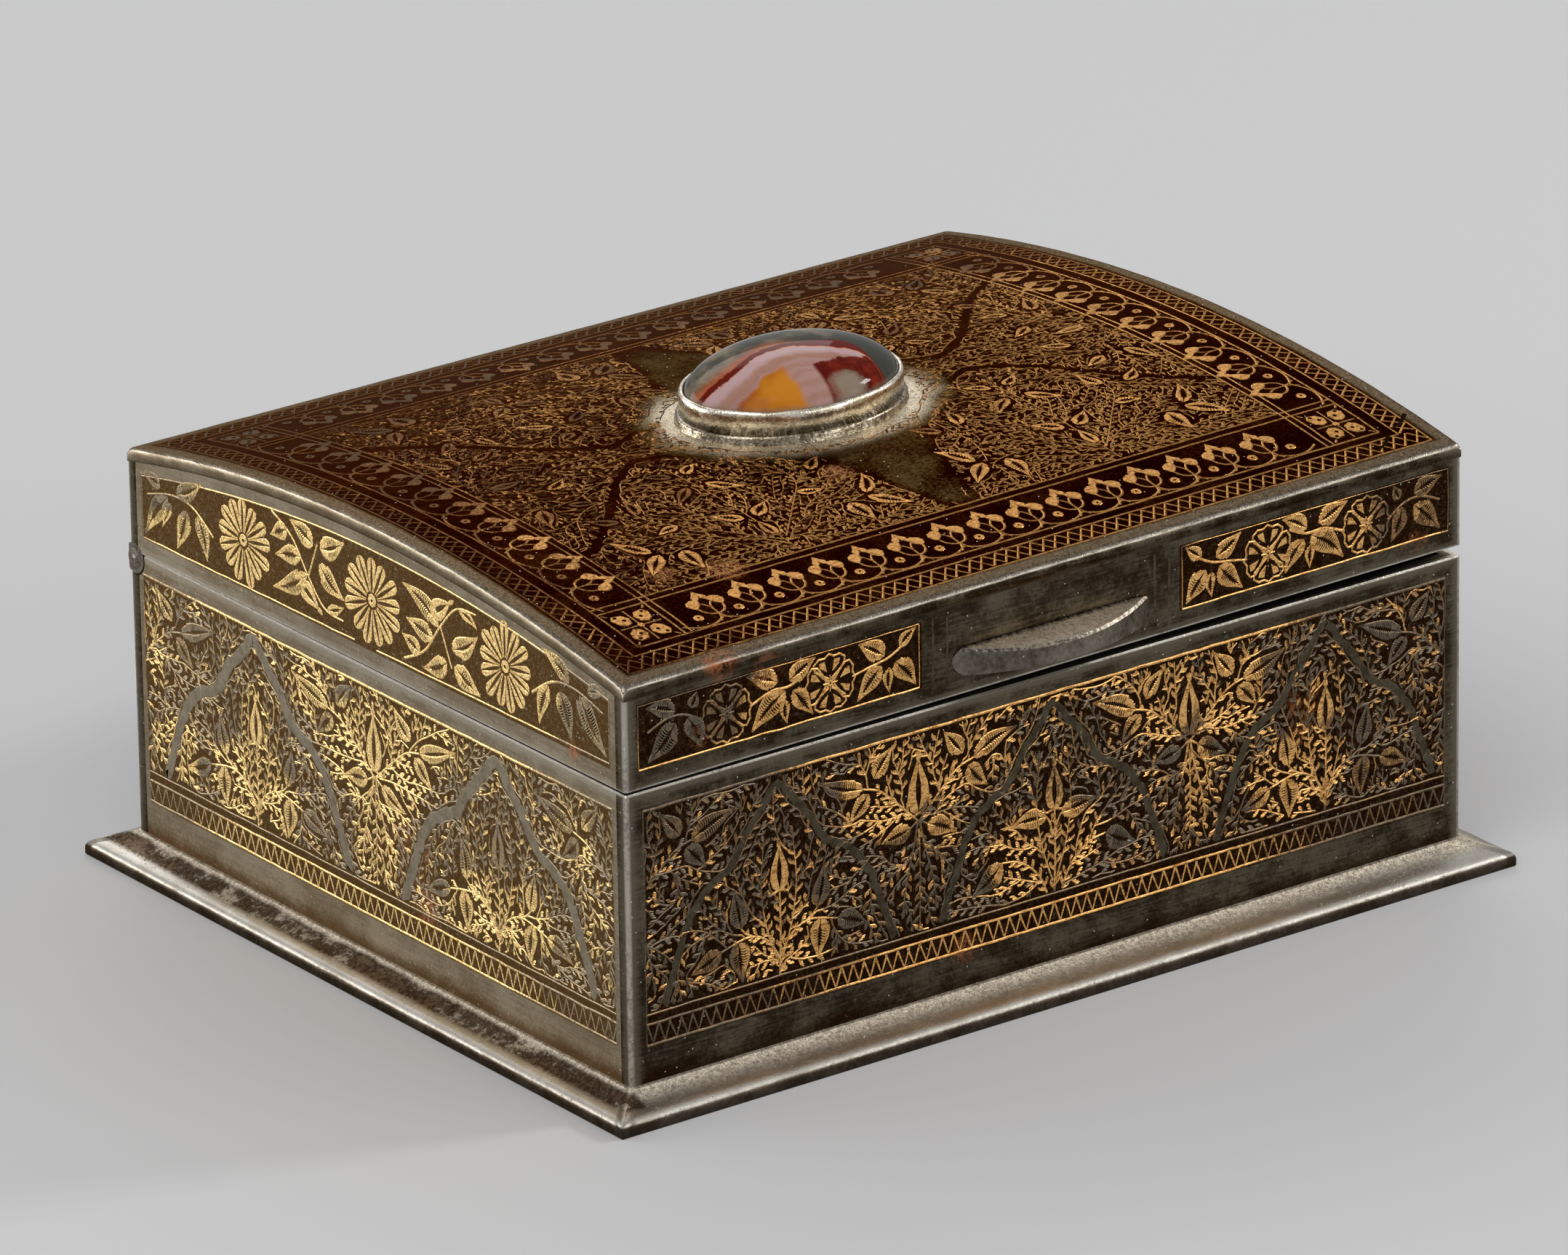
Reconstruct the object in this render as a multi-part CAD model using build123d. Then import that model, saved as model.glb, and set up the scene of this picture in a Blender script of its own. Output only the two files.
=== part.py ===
from build123d import *
import os
from math import cos, pi, sin, sqrt

# Small table casket of steel sheet with a hinged vaulted lid, a moulded plinth,
# a half-moon thumb-piece and an oval cabochon in a silver bezel.
# Millimetres. +X runs along the front to the right, +Y to the hinge at the back, +Z up.
# The origin is the middle of the underside.

# Body of the casket
body_length = 112.0
body_depth = 92.0
body_height = 36.2
wall_sheet = 1.65
base_sheet = 1.5
arris_radius = 0.4
edge_bevel = 0.2

# Plinth moulding, outside the walls
plinth_reach = 4.4
plinth_height = 3.3
nose_radius = 0.95
nose_lift = 0.3
trough_height = 1.85
trough_place = 2.3
trough_sag = 0.08
cove_sag = 0.45
foot_flat = 2.7
mitre_spare = 1.0

# Lid, lying a little open and sprung as it rests
lid_side_height = 11.7
lid_rise = 4.7
lid_sheet = 1.5
lid_wall_sheet = 1.6
lid_edge_bevel = 0.3
gap_back = 0.12
gap_front_left = 0.35
gap_front_right = 1.2

# Barrel hinge, let into the back edge
knuckle_count = 5
knuckle_radius = 1.75
knuckle_end_gap = 0.16
knuckle_proud = 0.25
hinge_inset = 0.8
hinge_drop = 0.75
solder_gap = 0.04
turning_gap = 0.22
pin_radius = 0.95
pin_clearance = 0.04
pin_head_radius = 1.2
pin_head_depth = 0.6
pin_dome = 0.12

# Thumb-piece on the lid's front
thumb_length = 26.5
thumb_reach = 3.7
thumb_height = 3.1
thumb_fall = 0.9
thumb_above_edge = 2.15
thumb_bevel = 0.25

# Stone and its setting, on the crown of the lid
stone_half_length = 12.85
stone_half_width = 9.4
stone_skirt = 1.7
stone_dome = 5.05
stone_bands = 6
stone_clearance = 0.05
band_thickness = 0.45
band_height = 2.65
shoulder_drop = 0.66
rim_lean = 0.3
rim_thickness = 0.32
step_height = 0.9
step_reach = 0.4
step_round = 0.3
ledge_width = 1.6

hinge_y = body_depth / 2 - hinge_inset
hinge_z = body_height - hinge_drop
knuckle_pitch = body_length / knuckle_count
overrun = 3.0
vault_radius = (body_depth**2 / 4 + lid_rise**2) / (2 * lid_rise)
lid_top = body_height + max(gap_front_left, gap_front_right) + lid_side_height + lid_rise


def slab(x0, x1, y0, y1, z0, z1):
    """Box between two corners."""
    middle = ((x0 + x1) / 2, (y0 + y1) / 2, (z0 + z1) / 2)
    return Pos(*middle) * Box(x1 - x0, y1 - y0, z1 - z0)


def four_walls(block, thickness, low, high):
    """Cuts a hollow block into front and back sheets and the two end sheets between them."""
    x, y = body_length / 2, body_depth / 2
    far_x, far_y = x + plinth_reach, y + plinth_reach
    inner_x, inner_y = x - thickness, y - thickness
    hollow = block - slab(-inner_x, inner_x, -inner_y, inner_y, low, high)
    return {
        "front_wall": hollow & slab(-far_x, far_x, -far_y, -inner_y, low, high),
        "back_wall": hollow & slab(-far_x, far_x, inner_y, far_y, low, high),
        "left_wall": hollow & slab(-far_x, -inner_x, -inner_y, inner_y, low, high),
        "right_wall": hollow & slab(inner_x, far_x, -inner_y, inner_y, low, high),
    }


def rounded_prism(low, high):
    """Upright block of the casket's outline, with softened vertical arrises."""
    outline = RectangleRounded(body_length, body_depth, arris_radius)
    return extrude(Pos(0, 0, low) * outline, high - low)


# Hinge

def along_x(x0, x1, radius):
    """Round bar on the hinge axis."""
    bar = Cylinder(radius, x1 - x0, rotation=(0, 90, 0))
    return Pos((x0 + x1) / 2, hinge_y, hinge_z) * bar


def span(index):
    """Where a knuckle's share of the hinge starts and ends."""
    start = -body_length / 2 + index * knuckle_pitch
    return start, start + knuckle_pitch


def hinge_cut(own_first):
    """Room for the barrel in one body's sheets: a seat for its own knuckles, a relief for the others."""
    cut = None
    for index in range(knuckle_count):
        start, end = span(index)
        if index == 0:
            start -= wall_sheet
        if index == knuckle_count - 1:
            end += wall_sheet
        own = (index % 2 == 0) == own_first
        gap = solder_gap if own else turning_gap
        bar = along_x(start, end, knuckle_radius + gap)
        cut = bar if cut is None else cut + bar
    return cut


def knuckle(index):
    """Tube brazed to its sheet and filed nearly flush with the back; the end ones are countersunk."""
    start, end = span(index)
    first = index == 0
    last = index == knuckle_count - 1
    if not first:
        start += knuckle_end_gap / 2
    if not last:
        end -= knuckle_end_gap / 2
    bore = pin_radius + pin_clearance
    flush = body_depth / 2 + knuckle_proud
    low, high = hinge_z - 2 * knuckle_radius, hinge_z + 2 * knuckle_radius
    tube = along_x(start, end, knuckle_radius) - along_x(start, end, bore)
    tube = tube & slab(start, end, hinge_y - 2 * knuckle_radius, flush, low, high)
    if first:
        tube -= countersink(start, 1)
    if last:
        tube -= countersink(end, -1)
    return tube


def countersink(face_x, inward):
    """Flared mouth for the pin's spread end."""
    wide = pin_head_radius + pin_clearance
    narrow = pin_radius + pin_clearance
    flare = Cone(wide, narrow, pin_head_depth, align=(Align.CENTER, Align.CENTER, Align.MIN))
    return Pos(face_x, hinge_y, hinge_z) * Rot(0, 90 * inward, 0) * flare


def hinge_pin():
    """Wire through all knuckles, with both ends spread and slightly domed."""
    half = body_length / 2
    outline = (
        TangentArc((-half - pin_dome, 0), (-half, pin_head_radius), tangent=(0, 1))
        + Line((-half, pin_head_radius), (-half + pin_head_depth, pin_radius))
        + Line((-half + pin_head_depth, pin_radius), (half - pin_head_depth, pin_radius))
        + Line((half - pin_head_depth, pin_radius), (half, pin_head_radius))
        + TangentArc((half + pin_dome, 0), (half, pin_head_radius), tangent=(0, 1))
        + Line((half + pin_dome, 0), (-half - pin_dome, 0))
    )
    return Pos(0, hinge_y, hinge_z) * revolve(make_face(outline), Axis.X)


# Body

def body_walls():
    low = base_sheet
    block = rounded_prism(low, body_height)
    block = chamfer(block.faces().sort_by(Axis.Z)[-1].edges(), edge_bevel)
    block -= hinge_cut(own_first=False)
    walls = four_walls(block, wall_sheet, low, body_height)
    return {"body_" + name: wall for name, wall in walls.items()}


def base_plate():
    return rounded_prism(0, base_sheet)


def plinth_section():
    """Moulding's section, outward distance from the wall against height, from the foot outward."""
    centre_out = plinth_reach - nose_radius
    centre_up = nose_lift + nose_radius
    nose_under = (centre_out, nose_lift)
    nose_tip = (plinth_reach, centre_up)
    nose_top = (centre_out, centre_up + nose_radius)
    trough = (trough_place, trough_height)
    wall_foot = (0, plinth_height)
    return (
        Line((0, 0), (foot_flat, 0))
        + Line((foot_flat, 0), nose_under)
        + ThreePointArc(nose_under, nose_tip, nose_top)
        + SagittaArc(nose_top, trough, trough_sag)
        + SagittaArc(trough, wall_foot, cove_sag)
        + Line(wall_foot, (0, 0))
    )


def plinth_side(length, distance, turn):
    """One moulding with mitred ends, laid along the front and turned to its side."""
    run = length + 2 * plinth_reach
    section_plane = Plane(origin=(-run / 2, -distance, 0), x_dir=(0, -1, 0), z_dir=(-1, 0, 0))
    bar = extrude(make_face(section_plane * plinth_section()), -run)
    half = length / 2
    out = plinth_reach + mitre_spare
    mitre = Polyline(
        (-half, -distance),
        (half, -distance),
        (half + out, -distance - out),
        (-half - out, -distance - out),
        close=True,
    )
    return Rot(0, 0, turn) * (bar & extrude(make_face(mitre), plinth_height + mitre_spare))


def plinth():
    x, y = body_length / 2, body_depth / 2
    return {
        "plinth_front": plinth_side(body_length, y, 0),
        "plinth_right": plinth_side(body_depth, x, 90),
        "plinth_back": plinth_side(body_length, y, 180),
        "plinth_left": plinth_side(body_depth, x, 270),
    }


# Lid

def front_edge(x):
    """Height of the lid's lower front edge, which climbs from left to right."""
    climb = (gap_front_right - gap_front_left) * (x / body_length + 0.5)
    return body_height + gap_front_left + climb


def lower_edge(x, y):
    """Height of the lid's lower edge between its front and back."""
    front, back = front_edge(x), body_height + gap_back
    return (front + back) / 2 + (back - front) * y / body_depth


def vault_point(x, y, radius):
    """Point of the vault over x and y, or of a line that runs below it at a smaller radius."""
    centre = lid_side_height + lid_rise - vault_radius
    return (x, y, lower_edge(x, y) + centre + sqrt(radius**2 - y**2))


def vault_arc(x, y, radius):
    """Arc of the vault at x, from y in front to y behind."""
    front, crown, back = (vault_point(x, place, radius) for place in (-y, 0, y))
    return ThreePointArc(front, crown, back)


def lid_loft(sections):
    """Solid through sections across the lid, twisted a little from end to end."""
    block = loft([make_face(section) for section in sections], ruled=True)
    return fillet(block.edges().filter_by(Axis.Z), arris_radius)


def lid_block(radius):
    """Solid from the lid's lower edge to a vault of this radius."""
    y = body_depth / 2
    sections = []
    for x in (-body_length / 2, body_length / 2):
        front, back = (x, -y, lower_edge(x, -y)), (x, y, lower_edge(x, y))
        arc = vault_arc(x, y, radius)
        sections.append(Line(front, back) + Line(back, arc @ 1) + arc + Line(arc @ 0, front))
    return lid_loft(sections)


def plate_section(x, bevel_end):
    """The vaulted sheet cut across at x, with its long edges bevelled and the ends lowered."""
    y = body_depth / 2
    under = vault_arc(x, y, vault_radius - lid_sheet)
    lowered = vault_radius - bevel_end
    over = vault_arc(x, y - lid_edge_bevel, lowered)
    front = vault_point(x, -y, lowered - lid_edge_bevel)
    back = vault_point(x, y, lowered - lid_edge_bevel)
    front_side = Line(under @ 0, front) + Line(front, over @ 0)
    back_side = Line(over @ 1, back) + Line(back, under @ 1)
    return under + front_side + over + back_side


def lid_plate():
    """Sheet bent to the vault, bevelled by wear along its four top edges."""
    end = body_length / 2
    inside = end - lid_edge_bevel
    places = [(-end, lid_edge_bevel), (-inside, 0), (inside, 0), (end, lid_edge_bevel)]
    return lid_loft([plate_section(x, bevel_end) for x, bevel_end in places])


def lid_walls():
    """The lid's four sides, with the hinge's room cut out."""
    block = lid_block(vault_radius - lid_sheet) - hinge_cut(own_first=True)
    walls = four_walls(block, lid_wall_sheet, body_height - overrun, lid_top + overrun)
    return {"lid_" + name: wall for name, wall in walls.items()}


def thumb_piece():
    """Half-moon lug: flat back on the lid, sloping top, round ends."""
    low = front_edge(0) + thumb_above_edge
    face_y = -body_depth / 2
    half = thumb_length / 2
    plan = ThreePointArc((-half, face_y), (0, face_y - thumb_reach), (half, face_y))
    moon = make_face(plan + Line((half, face_y), (-half, face_y)))
    lug = extrude(Pos(0, 0, low) * moon, thumb_height)
    side_plane = Plane(origin=(0, face_y, low + thumb_height / 2), x_dir=(1, 0, 0), z_dir=(0, -1, 0))
    ends = side_plane * SlotOverall(thumb_length, thumb_height)
    lug = lug & extrude(ends, thumb_reach)
    slope = make_face(
        Plane.YZ
        * Polyline(
            (face_y, low + thumb_height),
            (face_y - thumb_reach, low + thumb_height - thumb_fall),
            (face_y - thumb_reach, low + 2 * thumb_height),
            (face_y, low + 2 * thumb_height),
            close=True,
        )
    )
    lug -= extrude(slope, half, both=True)
    ridge = lug.edges().filter_by(GeomType.ELLIPSE).filter_by(lambda edge: edge.length > thumb_reach)
    return chamfer(ridge, thumb_bevel)


# Stone and setting

def crown_height():
    """Height of the vault's middle."""
    return lower_edge(0, 0) + lid_side_height + lid_rise


def oval(grow, height):
    """Oval face parallel to the stone's edge, at a height over the crown."""
    face = Ellipse(stone_half_length + grow, stone_half_width + grow)
    return Pos(0, 0, crown_height() + height) * face


def bezel_foot():
    """Stepped oval ring, cut to the vault below, with a ledge that carries the stone."""
    outer = stone_clearance + band_thickness + step_reach
    side = step_height - step_round
    ring = loft([oval(outer, -overrun), oval(outer, side)], ruled=True)
    ring += loft([oval(outer, side), oval(outer - step_round, step_height)], ruled=True)
    hole = loft([oval(-ledge_width, -2 * overrun), oval(-ledge_width, overrun)], ruled=True)
    return ring - hole - lid_block(vault_radius)


def bezel_band():
    """Upright strip round the stone, its thin rim worked in over the stone's edge."""
    inner = stone_clearance
    outer = inner + band_thickness
    foot, top = step_height, step_height + band_height
    shoulder = top - shoulder_drop
    rim = outer - rim_lean
    outside = loft([oval(outer, foot), oval(outer, shoulder)], ruled=True)
    outside += loft([oval(outer, shoulder), oval(rim, top)], ruled=True)
    inside = loft([oval(inner, foot), oval(inner, shoulder)], ruled=True)
    inside += loft([oval(inner, shoulder), oval(rim - rim_thickness, top)], ruled=True)
    return outside - inside


def cabochon():
    """Stone with a short upright skirt and a dome that closes in even steps of slope."""
    seat = crown_height() + step_height + stone_clearance
    middle = seat + stone_skirt
    levels = [Pos(0, 0, seat) * Ellipse(stone_half_length, stone_half_width)]
    for band in range(stone_bands):
        slope = band / stone_bands * pi / 2
        level = Ellipse(stone_half_length * cos(slope), stone_half_width * cos(slope))
        levels.append(Pos(0, 0, middle + stone_dome * sin(slope)) * level)
    levels.append(Vertex(0, 0, middle + stone_dome))
    return loft(levels, ruled=True)


def model():
    parts = {"base_plate": base_plate()}
    parts.update(body_walls())
    parts.update(plinth())
    parts["lid_top_plate"] = lid_plate()
    parts.update(lid_walls())
    parts["thumb_piece"] = thumb_piece()
    parts["bezel_foot"] = bezel_foot()
    parts["bezel_band"] = bezel_band()
    parts["cabochon"] = cabochon()
    parts["hinge_pin"] = hinge_pin()
    names = ["lid_knuckle_left", "body_knuckle_left", "lid_knuckle_middle"]
    names += ["body_knuckle_right", "lid_knuckle_right"]
    for index, name in enumerate(names):
        parts[name] = knuckle(index)
    return parts


os.makedirs("parts", exist_ok=True)
for name, shape in model().items():
    export_step(shape, f"parts/{name}.step")
    print(name, len(shape.solids()), round(shape.volume, 2))
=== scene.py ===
import random
from collections import namedtuple
from math import atan2, ceil, cos, hypot, pi, radians, sin, sqrt, tau

import bpy
import numpy as np
from mathutils import Matrix, Vector

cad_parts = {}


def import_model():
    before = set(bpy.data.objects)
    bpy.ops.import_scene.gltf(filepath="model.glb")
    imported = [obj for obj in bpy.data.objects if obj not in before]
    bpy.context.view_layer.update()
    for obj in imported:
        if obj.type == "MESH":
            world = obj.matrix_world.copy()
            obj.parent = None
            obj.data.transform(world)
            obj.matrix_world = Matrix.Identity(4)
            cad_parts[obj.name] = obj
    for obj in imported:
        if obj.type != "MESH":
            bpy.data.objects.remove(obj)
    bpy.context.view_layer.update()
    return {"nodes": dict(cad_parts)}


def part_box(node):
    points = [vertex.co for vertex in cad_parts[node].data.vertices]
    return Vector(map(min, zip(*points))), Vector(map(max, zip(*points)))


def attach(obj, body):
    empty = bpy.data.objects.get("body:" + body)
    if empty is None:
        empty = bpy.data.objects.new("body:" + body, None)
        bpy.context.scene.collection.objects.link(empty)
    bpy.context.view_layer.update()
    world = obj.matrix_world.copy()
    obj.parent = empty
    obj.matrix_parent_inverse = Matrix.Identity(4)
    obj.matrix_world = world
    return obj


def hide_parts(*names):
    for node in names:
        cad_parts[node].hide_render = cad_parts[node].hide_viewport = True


# A steel casket with gold inlay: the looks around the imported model.
# Sizes below are millimetres and are turned to metres where meshes are made.

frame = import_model()
MM = 0.001


def box(node):
    low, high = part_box(node)
    return low / MM, high / MM


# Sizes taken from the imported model

FRONT = box("body_front_wall")
LENGTH = FRONT[1].x
DEPTH = -FRONT[0].y
BODY_TOP = FRONT[1].z
PLINTH = box("plinth_front")
STONE = box("cabochon")
BAND = box("bezel_band")
FOOT = box("bezel_foot")

# The lid's lie and its vault

GAP_BACK = 0.12
GAP_FRONT_LEFT = 0.35
GAP_FRONT_RIGHT = 1.2
SIDE_HEIGHT = 11.7
RISE = 4.7
SHEET = 1.5
VAULT_RADIUS = (DEPTH**2 + RISE**2) / (2 * RISE)

# How proud the ornament stands, and how far it is let into the steel

PROUD = 0.035
FLUSH = 0.012
SUNK = 0.012
EYE = PROUD + 0.016
SCRATCH = PROUD + 0.02
UNEVEN = 0.01
GOLD, BARE, ENGRAVED = 0, 1, 2


def lower_edge(x, y):
    """Height of the lid's lower edge."""
    front = BODY_TOP + GAP_FRONT_LEFT + (GAP_FRONT_RIGHT - GAP_FRONT_LEFT) * (x / LENGTH + 1) / 2
    back = BODY_TOP + GAP_BACK
    return (front + back) / 2 + (back - front) * y / (2 * DEPTH)


def vault_rise(y):
    """Height of the vault over the lid's lower edge."""
    return SIDE_HEIGHT + RISE - VAULT_RADIUS + sqrt(VAULT_RADIUS**2 - y**2)


def vault(x, y):
    return lower_edge(x, y) + vault_rise(y)


# The faces that carry ornament: u runs right and v up as seen from outside, h outward

def upright(right, out, distance, on_lid):
    """Places points of one wall of the body or the lid."""
    def place(u, v, h):
        x = right[0] * u + out[0] * (distance + h)
        y = right[1] * u + out[1] * (distance + h)
        base = lower_edge(right[0] * u, right[1] * u + out[1] * distance) if on_lid else 0
        return x, y, v + base
    return place


def crown(u, v, h):
    """Places points of the vaulted top."""
    return u, v, vault(u, v) + h


SIDES = {
    "front": ((1, 0), (0, -1), DEPTH),
    "back": ((-1, 0), (0, 1), DEPTH),
    "left": ((0, -1), (-1, 0), LENGTH),
    "right": ((0, 1), (1, 0), LENGTH),
}


# Lines and curves in a panel

def clamp(value):
    return min(1.0, max(0.0, value))


def between(start, end, share):
    """The point at a share of the way from one point to another."""
    return start[0] + (end[0] - start[0]) * share, start[1] + (end[1] - start[1]) * share


def placed(centre, foot=0, side=1, spread=1.0, rise=1):
    """Places points of a plant about its own axis, on its right or its left side."""
    return lambda u, v: (centre + side * u * spread, foot + rise * v)


def smooth(points, step=0.55):
    """A smooth line through a few points, with points about a step apart."""
    line = []
    ends = [points[0]] + list(points) + [points[-1]]
    for a, b, c, d in zip(ends, ends[1:], ends[2:], ends[3:]):
        count = max(1, ceil(hypot(c[0] - b[0], c[1] - b[1]) / step))
        for index in range(count):
            t = index / count
            line.append(tuple(
                0.5 * (2 * b[k] + (c[k] - a[k]) * t + (2 * a[k] - 5 * b[k] + 4 * c[k] - d[k]) * t**2
                       + (3 * b[k] - a[k] - 3 * c[k] + d[k]) * t**3)
                for k in (0, 1)
            ))
    line.append(tuple(points[-1]))
    return line


def bow(start, end, sag, count):
    """A bent stroke, with its middle off the straight line by a share of its length."""
    du, dv = end[0] - start[0], end[1] - start[1]
    line = []
    for index in range(count + 1):
        t = index / count
        side = 4 * sag * t * (1 - t)
        line.append((start[0] + du * t - dv * side, start[1] + dv * t + du * side))
    return line


def turned(points, centre, angle):
    """Points of a motif drawn about zero, pointing up, set at a centre and turned."""
    c, s = cos(angle), sin(angle)
    return [(centre[0] + (u * c - v * s), centre[1] + (u * s + v * c)) for u, v in points]


def ring(centre, radius, count):
    return turned([(radius * cos(tau * k / count), radius * sin(tau * k / count)) for k in range(count)],
                  centre, 0)


# A leaf's half width at some shares of its length, and the closeness and depth of its veins

LEAF_ALONG = (0.0, 0.03, 0.12, 0.25, 0.40, 0.55, 0.70, 0.85, 1.0)
LEAF_HALF = (0.08, 0.50, 0.84, 1.0, 0.98, 0.80, 0.53, 0.26, 0.03)
VEINS = (0.3, 0.26)
TOP_VEINS = (0.36, 0.5)

# Where the top points of a bar lie between its two edges

RIDGED, FLAT = (0.5,), (0.14, 0.86)


class Ink:
    """Wires, leaves and petals let into one panel, gathered in one mesh."""

    def __init__(self, place, frame_box, wear, seed, ground=None):
        self.place = place
        self.left, self.right, self.low, self.high = frame_box
        self.wear = wear
        self.ground = ground
        self.twigs = None
        self.random = random.Random(seed)
        self.points = []
        self.faces = []
        self.tones = []
        self.kinds = []
        self.jitter = 0.0

    def shake(self, spread=0.15):
        """Chooses how much better or worse the next element has lasted."""
        self.jitter = self.random.gauss(0, spread)

    def within(self, point, spare=0.05):
        u, v = point
        return self.left - spare <= u <= self.right + spare and self.low - spare <= v <= self.high + spare

    def add(self, u, v, h):
        self.points.append(self.place(u, v, h))
        self.tones.append(clamp(self.wear(u, v) + self.jitter))

    def face(self, corners, kind):
        self.faces.append(corners)
        self.kinds.append(kind)

    def bar(self, left, right, proud=PROUD, flat=False, kind=GOLD):
        """A closed solid between two edge lines, ridged or flat on top."""
        start = len(self.points)
        proud += self.random.uniform(0.0, UNEVEN)
        shares = FLAT if flat else RIDGED
        wide = 2 + len(shares)
        for (lu, lv), (ru, rv) in zip(left, right):
            self.add(lu, lv, -SUNK)
            for share in shares:
                self.add(lu + (ru - lu) * share, lv + (rv - lv) * share, proud)
            self.add(ru, rv, -SUNK)
        last = start + (len(left) - 1) * wide
        for a in range(start, last, wide):
            for k in range(wide):
                n = (k + 1) % wide
                self.face((a + k, a + n, a + wide + n, a + wide + k), kind)
        self.face(tuple(range(start + wide - 1, start - 1, -1)), kind)
        self.face(tuple(range(last, last + wide)), kind)

    def half(self, outer, inner, side):
        """One half of a motif: a flat bar between two edge lines, wound to face outward."""
        if side > 0:
            outer, inner = inner, outer
        self.bar(outer, inner, flat=True)

    def wire(self, line, width, ends=(1.0, 1.0), proud=PROUD, flat=False, kind=GOLD, swell=0.0):
        """A wire along a line, cut off where the line leaves the frame."""
        run = []
        for point in list(line) + [None]:
            if point is not None and self.within(point):
                run.append(point)
                continue
            if len(run) > 1:
                self.whole_wire(run, width, ends, proud, flat, kind, swell)
            run = []

    def whole_wire(self, line, width, ends, proud, flat, kind, swell):
        """A wire that lies inside the frame."""
        left, right = [], []
        count = len(line)
        for index, (u, v) in enumerate(line):
            before = line[max(0, index - 1)]
            after = line[min(count - 1, index + 1)]
            du, dv = after[0] - before[0], after[1] - before[1]
            length = hypot(du, dv) or 1.0
            share = index / (count - 1)
            half = width / 2 * (ends[0] + (ends[1] - ends[0]) * share) * (1 + swell * sin(pi * share))
            left.append((u - dv / length * half, v + du / length * half))
            right.append((u + dv / length * half, v - du / length * half))
        self.bar(left, right, proud, flat, kind)

    def plate(self, outline, proud=PROUD, kind=GOLD, inset=0.1):
        """A flat piece with an outline drawn anticlockwise."""
        if not all(self.within(point) for point in outline):
            return
        start, count = len(self.points), len(outline)
        proud += self.random.uniform(0.0, UNEVEN)
        middle_u = sum(u for u, v in outline) / count
        middle_v = sum(v for u, v in outline) / count
        for u, v in outline:
            self.add(u, v, -SUNK)
        for u, v in outline:
            self.add(u + (middle_u - u) * inset, v + (middle_v - v) * inset, proud)
        for k in range(count):
            n = (k + 1) % count
            self.face((start + k, start + n, start + count + n, start + count + k), kind)
        self.face(tuple(range(start + count, start + 2 * count)), kind)
        self.face(tuple(range(start + count - 1, start - 1, -1)), kind)

    def leaf(self, base, tip, width, cuts, depth):
        """A pointed leaf: two solid halves round a thin slit, with slanting cuts for its veins."""
        du, dv = tip[0] - base[0], tip[1] - base[1]
        length = hypot(du, dv)
        bend = self.random.uniform(-0.08, 0.08)
        slim = self.random.uniform(0.9, 1.08)

        def spot(along, across):
            across = across / length + bend * sin(pi * along)
            return (base[0] + du * along - dv * across, base[1] + dv * along + du * across)

        rows = max(7, round(length / cuts) * 2 + 1)
        for side in (-1, 1):
            outer, inner = [], []
            lobe = self.random.uniform(0.75, 1.0)
            cut_from = self.random.uniform(0.15, 0.3)
            cut_to = self.random.uniform(0.6, 0.8)
            for row in range(rows):
                t = row / (rows - 1)
                half = width / 2 * slim * np.interp(t, LEAF_ALONG, LEAF_HALF)
                if t < 0.2:
                    half *= lobe
                slit = (0.07 + depth * 0.12) * sin(pi * clamp((t - 0.1) / 0.7)) + 0.01
                cut = half * depth if row % 2 and cut_from < t < cut_to else 0.0
                outer.append(spot(t + 0.03 * (row % 2), side * half * (1.0 - 0.08 * (row % 2))))
                inner.append(spot(t + cut * 0.9 / length, side * min(slit + cut, half * 0.8)))
            self.half(inner, outer, side)

    def bud(self, base, tip, width):
        """A closed flower: two sepals round a dark slit, a bead over them and a curl at each side."""
        du, dv = tip[0] - base[0], tip[1] - base[1]
        length = hypot(du, dv)
        angle = atan2(dv, du) - pi / 2
        half = width / 2
        shape = [(0.0, 0.25), (0.1, 0.75), (0.3, 1.0), (0.55, 0.85), (0.78, 0.45), (1.0, 0.06)]
        for side in (-1, 1):
            outer = [(side * half * w, length * t) for t, w in shape]
            slit = [(side * (0.02 + 0.24 * half * sin(pi * clamp((t - 0.12) / 0.6))), length * t)
                    for t, w in shape]
            self.half(turned(outer, base, angle), turned(slit, base, angle), side)
            curl = turned([(0, 0.2), (side * half * 0.9, -0.15), (side * half * 1.25, 0.5)], base, angle)
            self.wire(smooth(curl, 0.4), 0.42, (1.0, 0.6))
        if width > 2.2:
            bead = [(0, -0.55), (0.32, 0.0), (0.26, 0.5), (0, 0.85), (-0.26, 0.5), (-0.32, 0.0)]
            self.plate(turned(bead, tip, angle))

    def dot(self, centre, radius, eye=0.0):
        self.plate(ring(centre, radius, 8))
        if eye:
            self.plate(ring(centre, eye, 6), proud=EYE, kind=ENGRAVED, inset=0.2)

    def mesh(self, name):
        mesh = bpy.data.meshes.new(name)
        mesh.from_pydata([Vector(p) * MM for p in self.points], [], self.faces)
        mesh.polygons.foreach_set("material_index", self.kinds)
        tones = mesh.attributes.new("gold", "FLOAT", "POINT")
        tones.data.foreach_set("value", self.tones)
        mesh.update()
        return mesh


# Twigs that fill the ground between the plants

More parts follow.
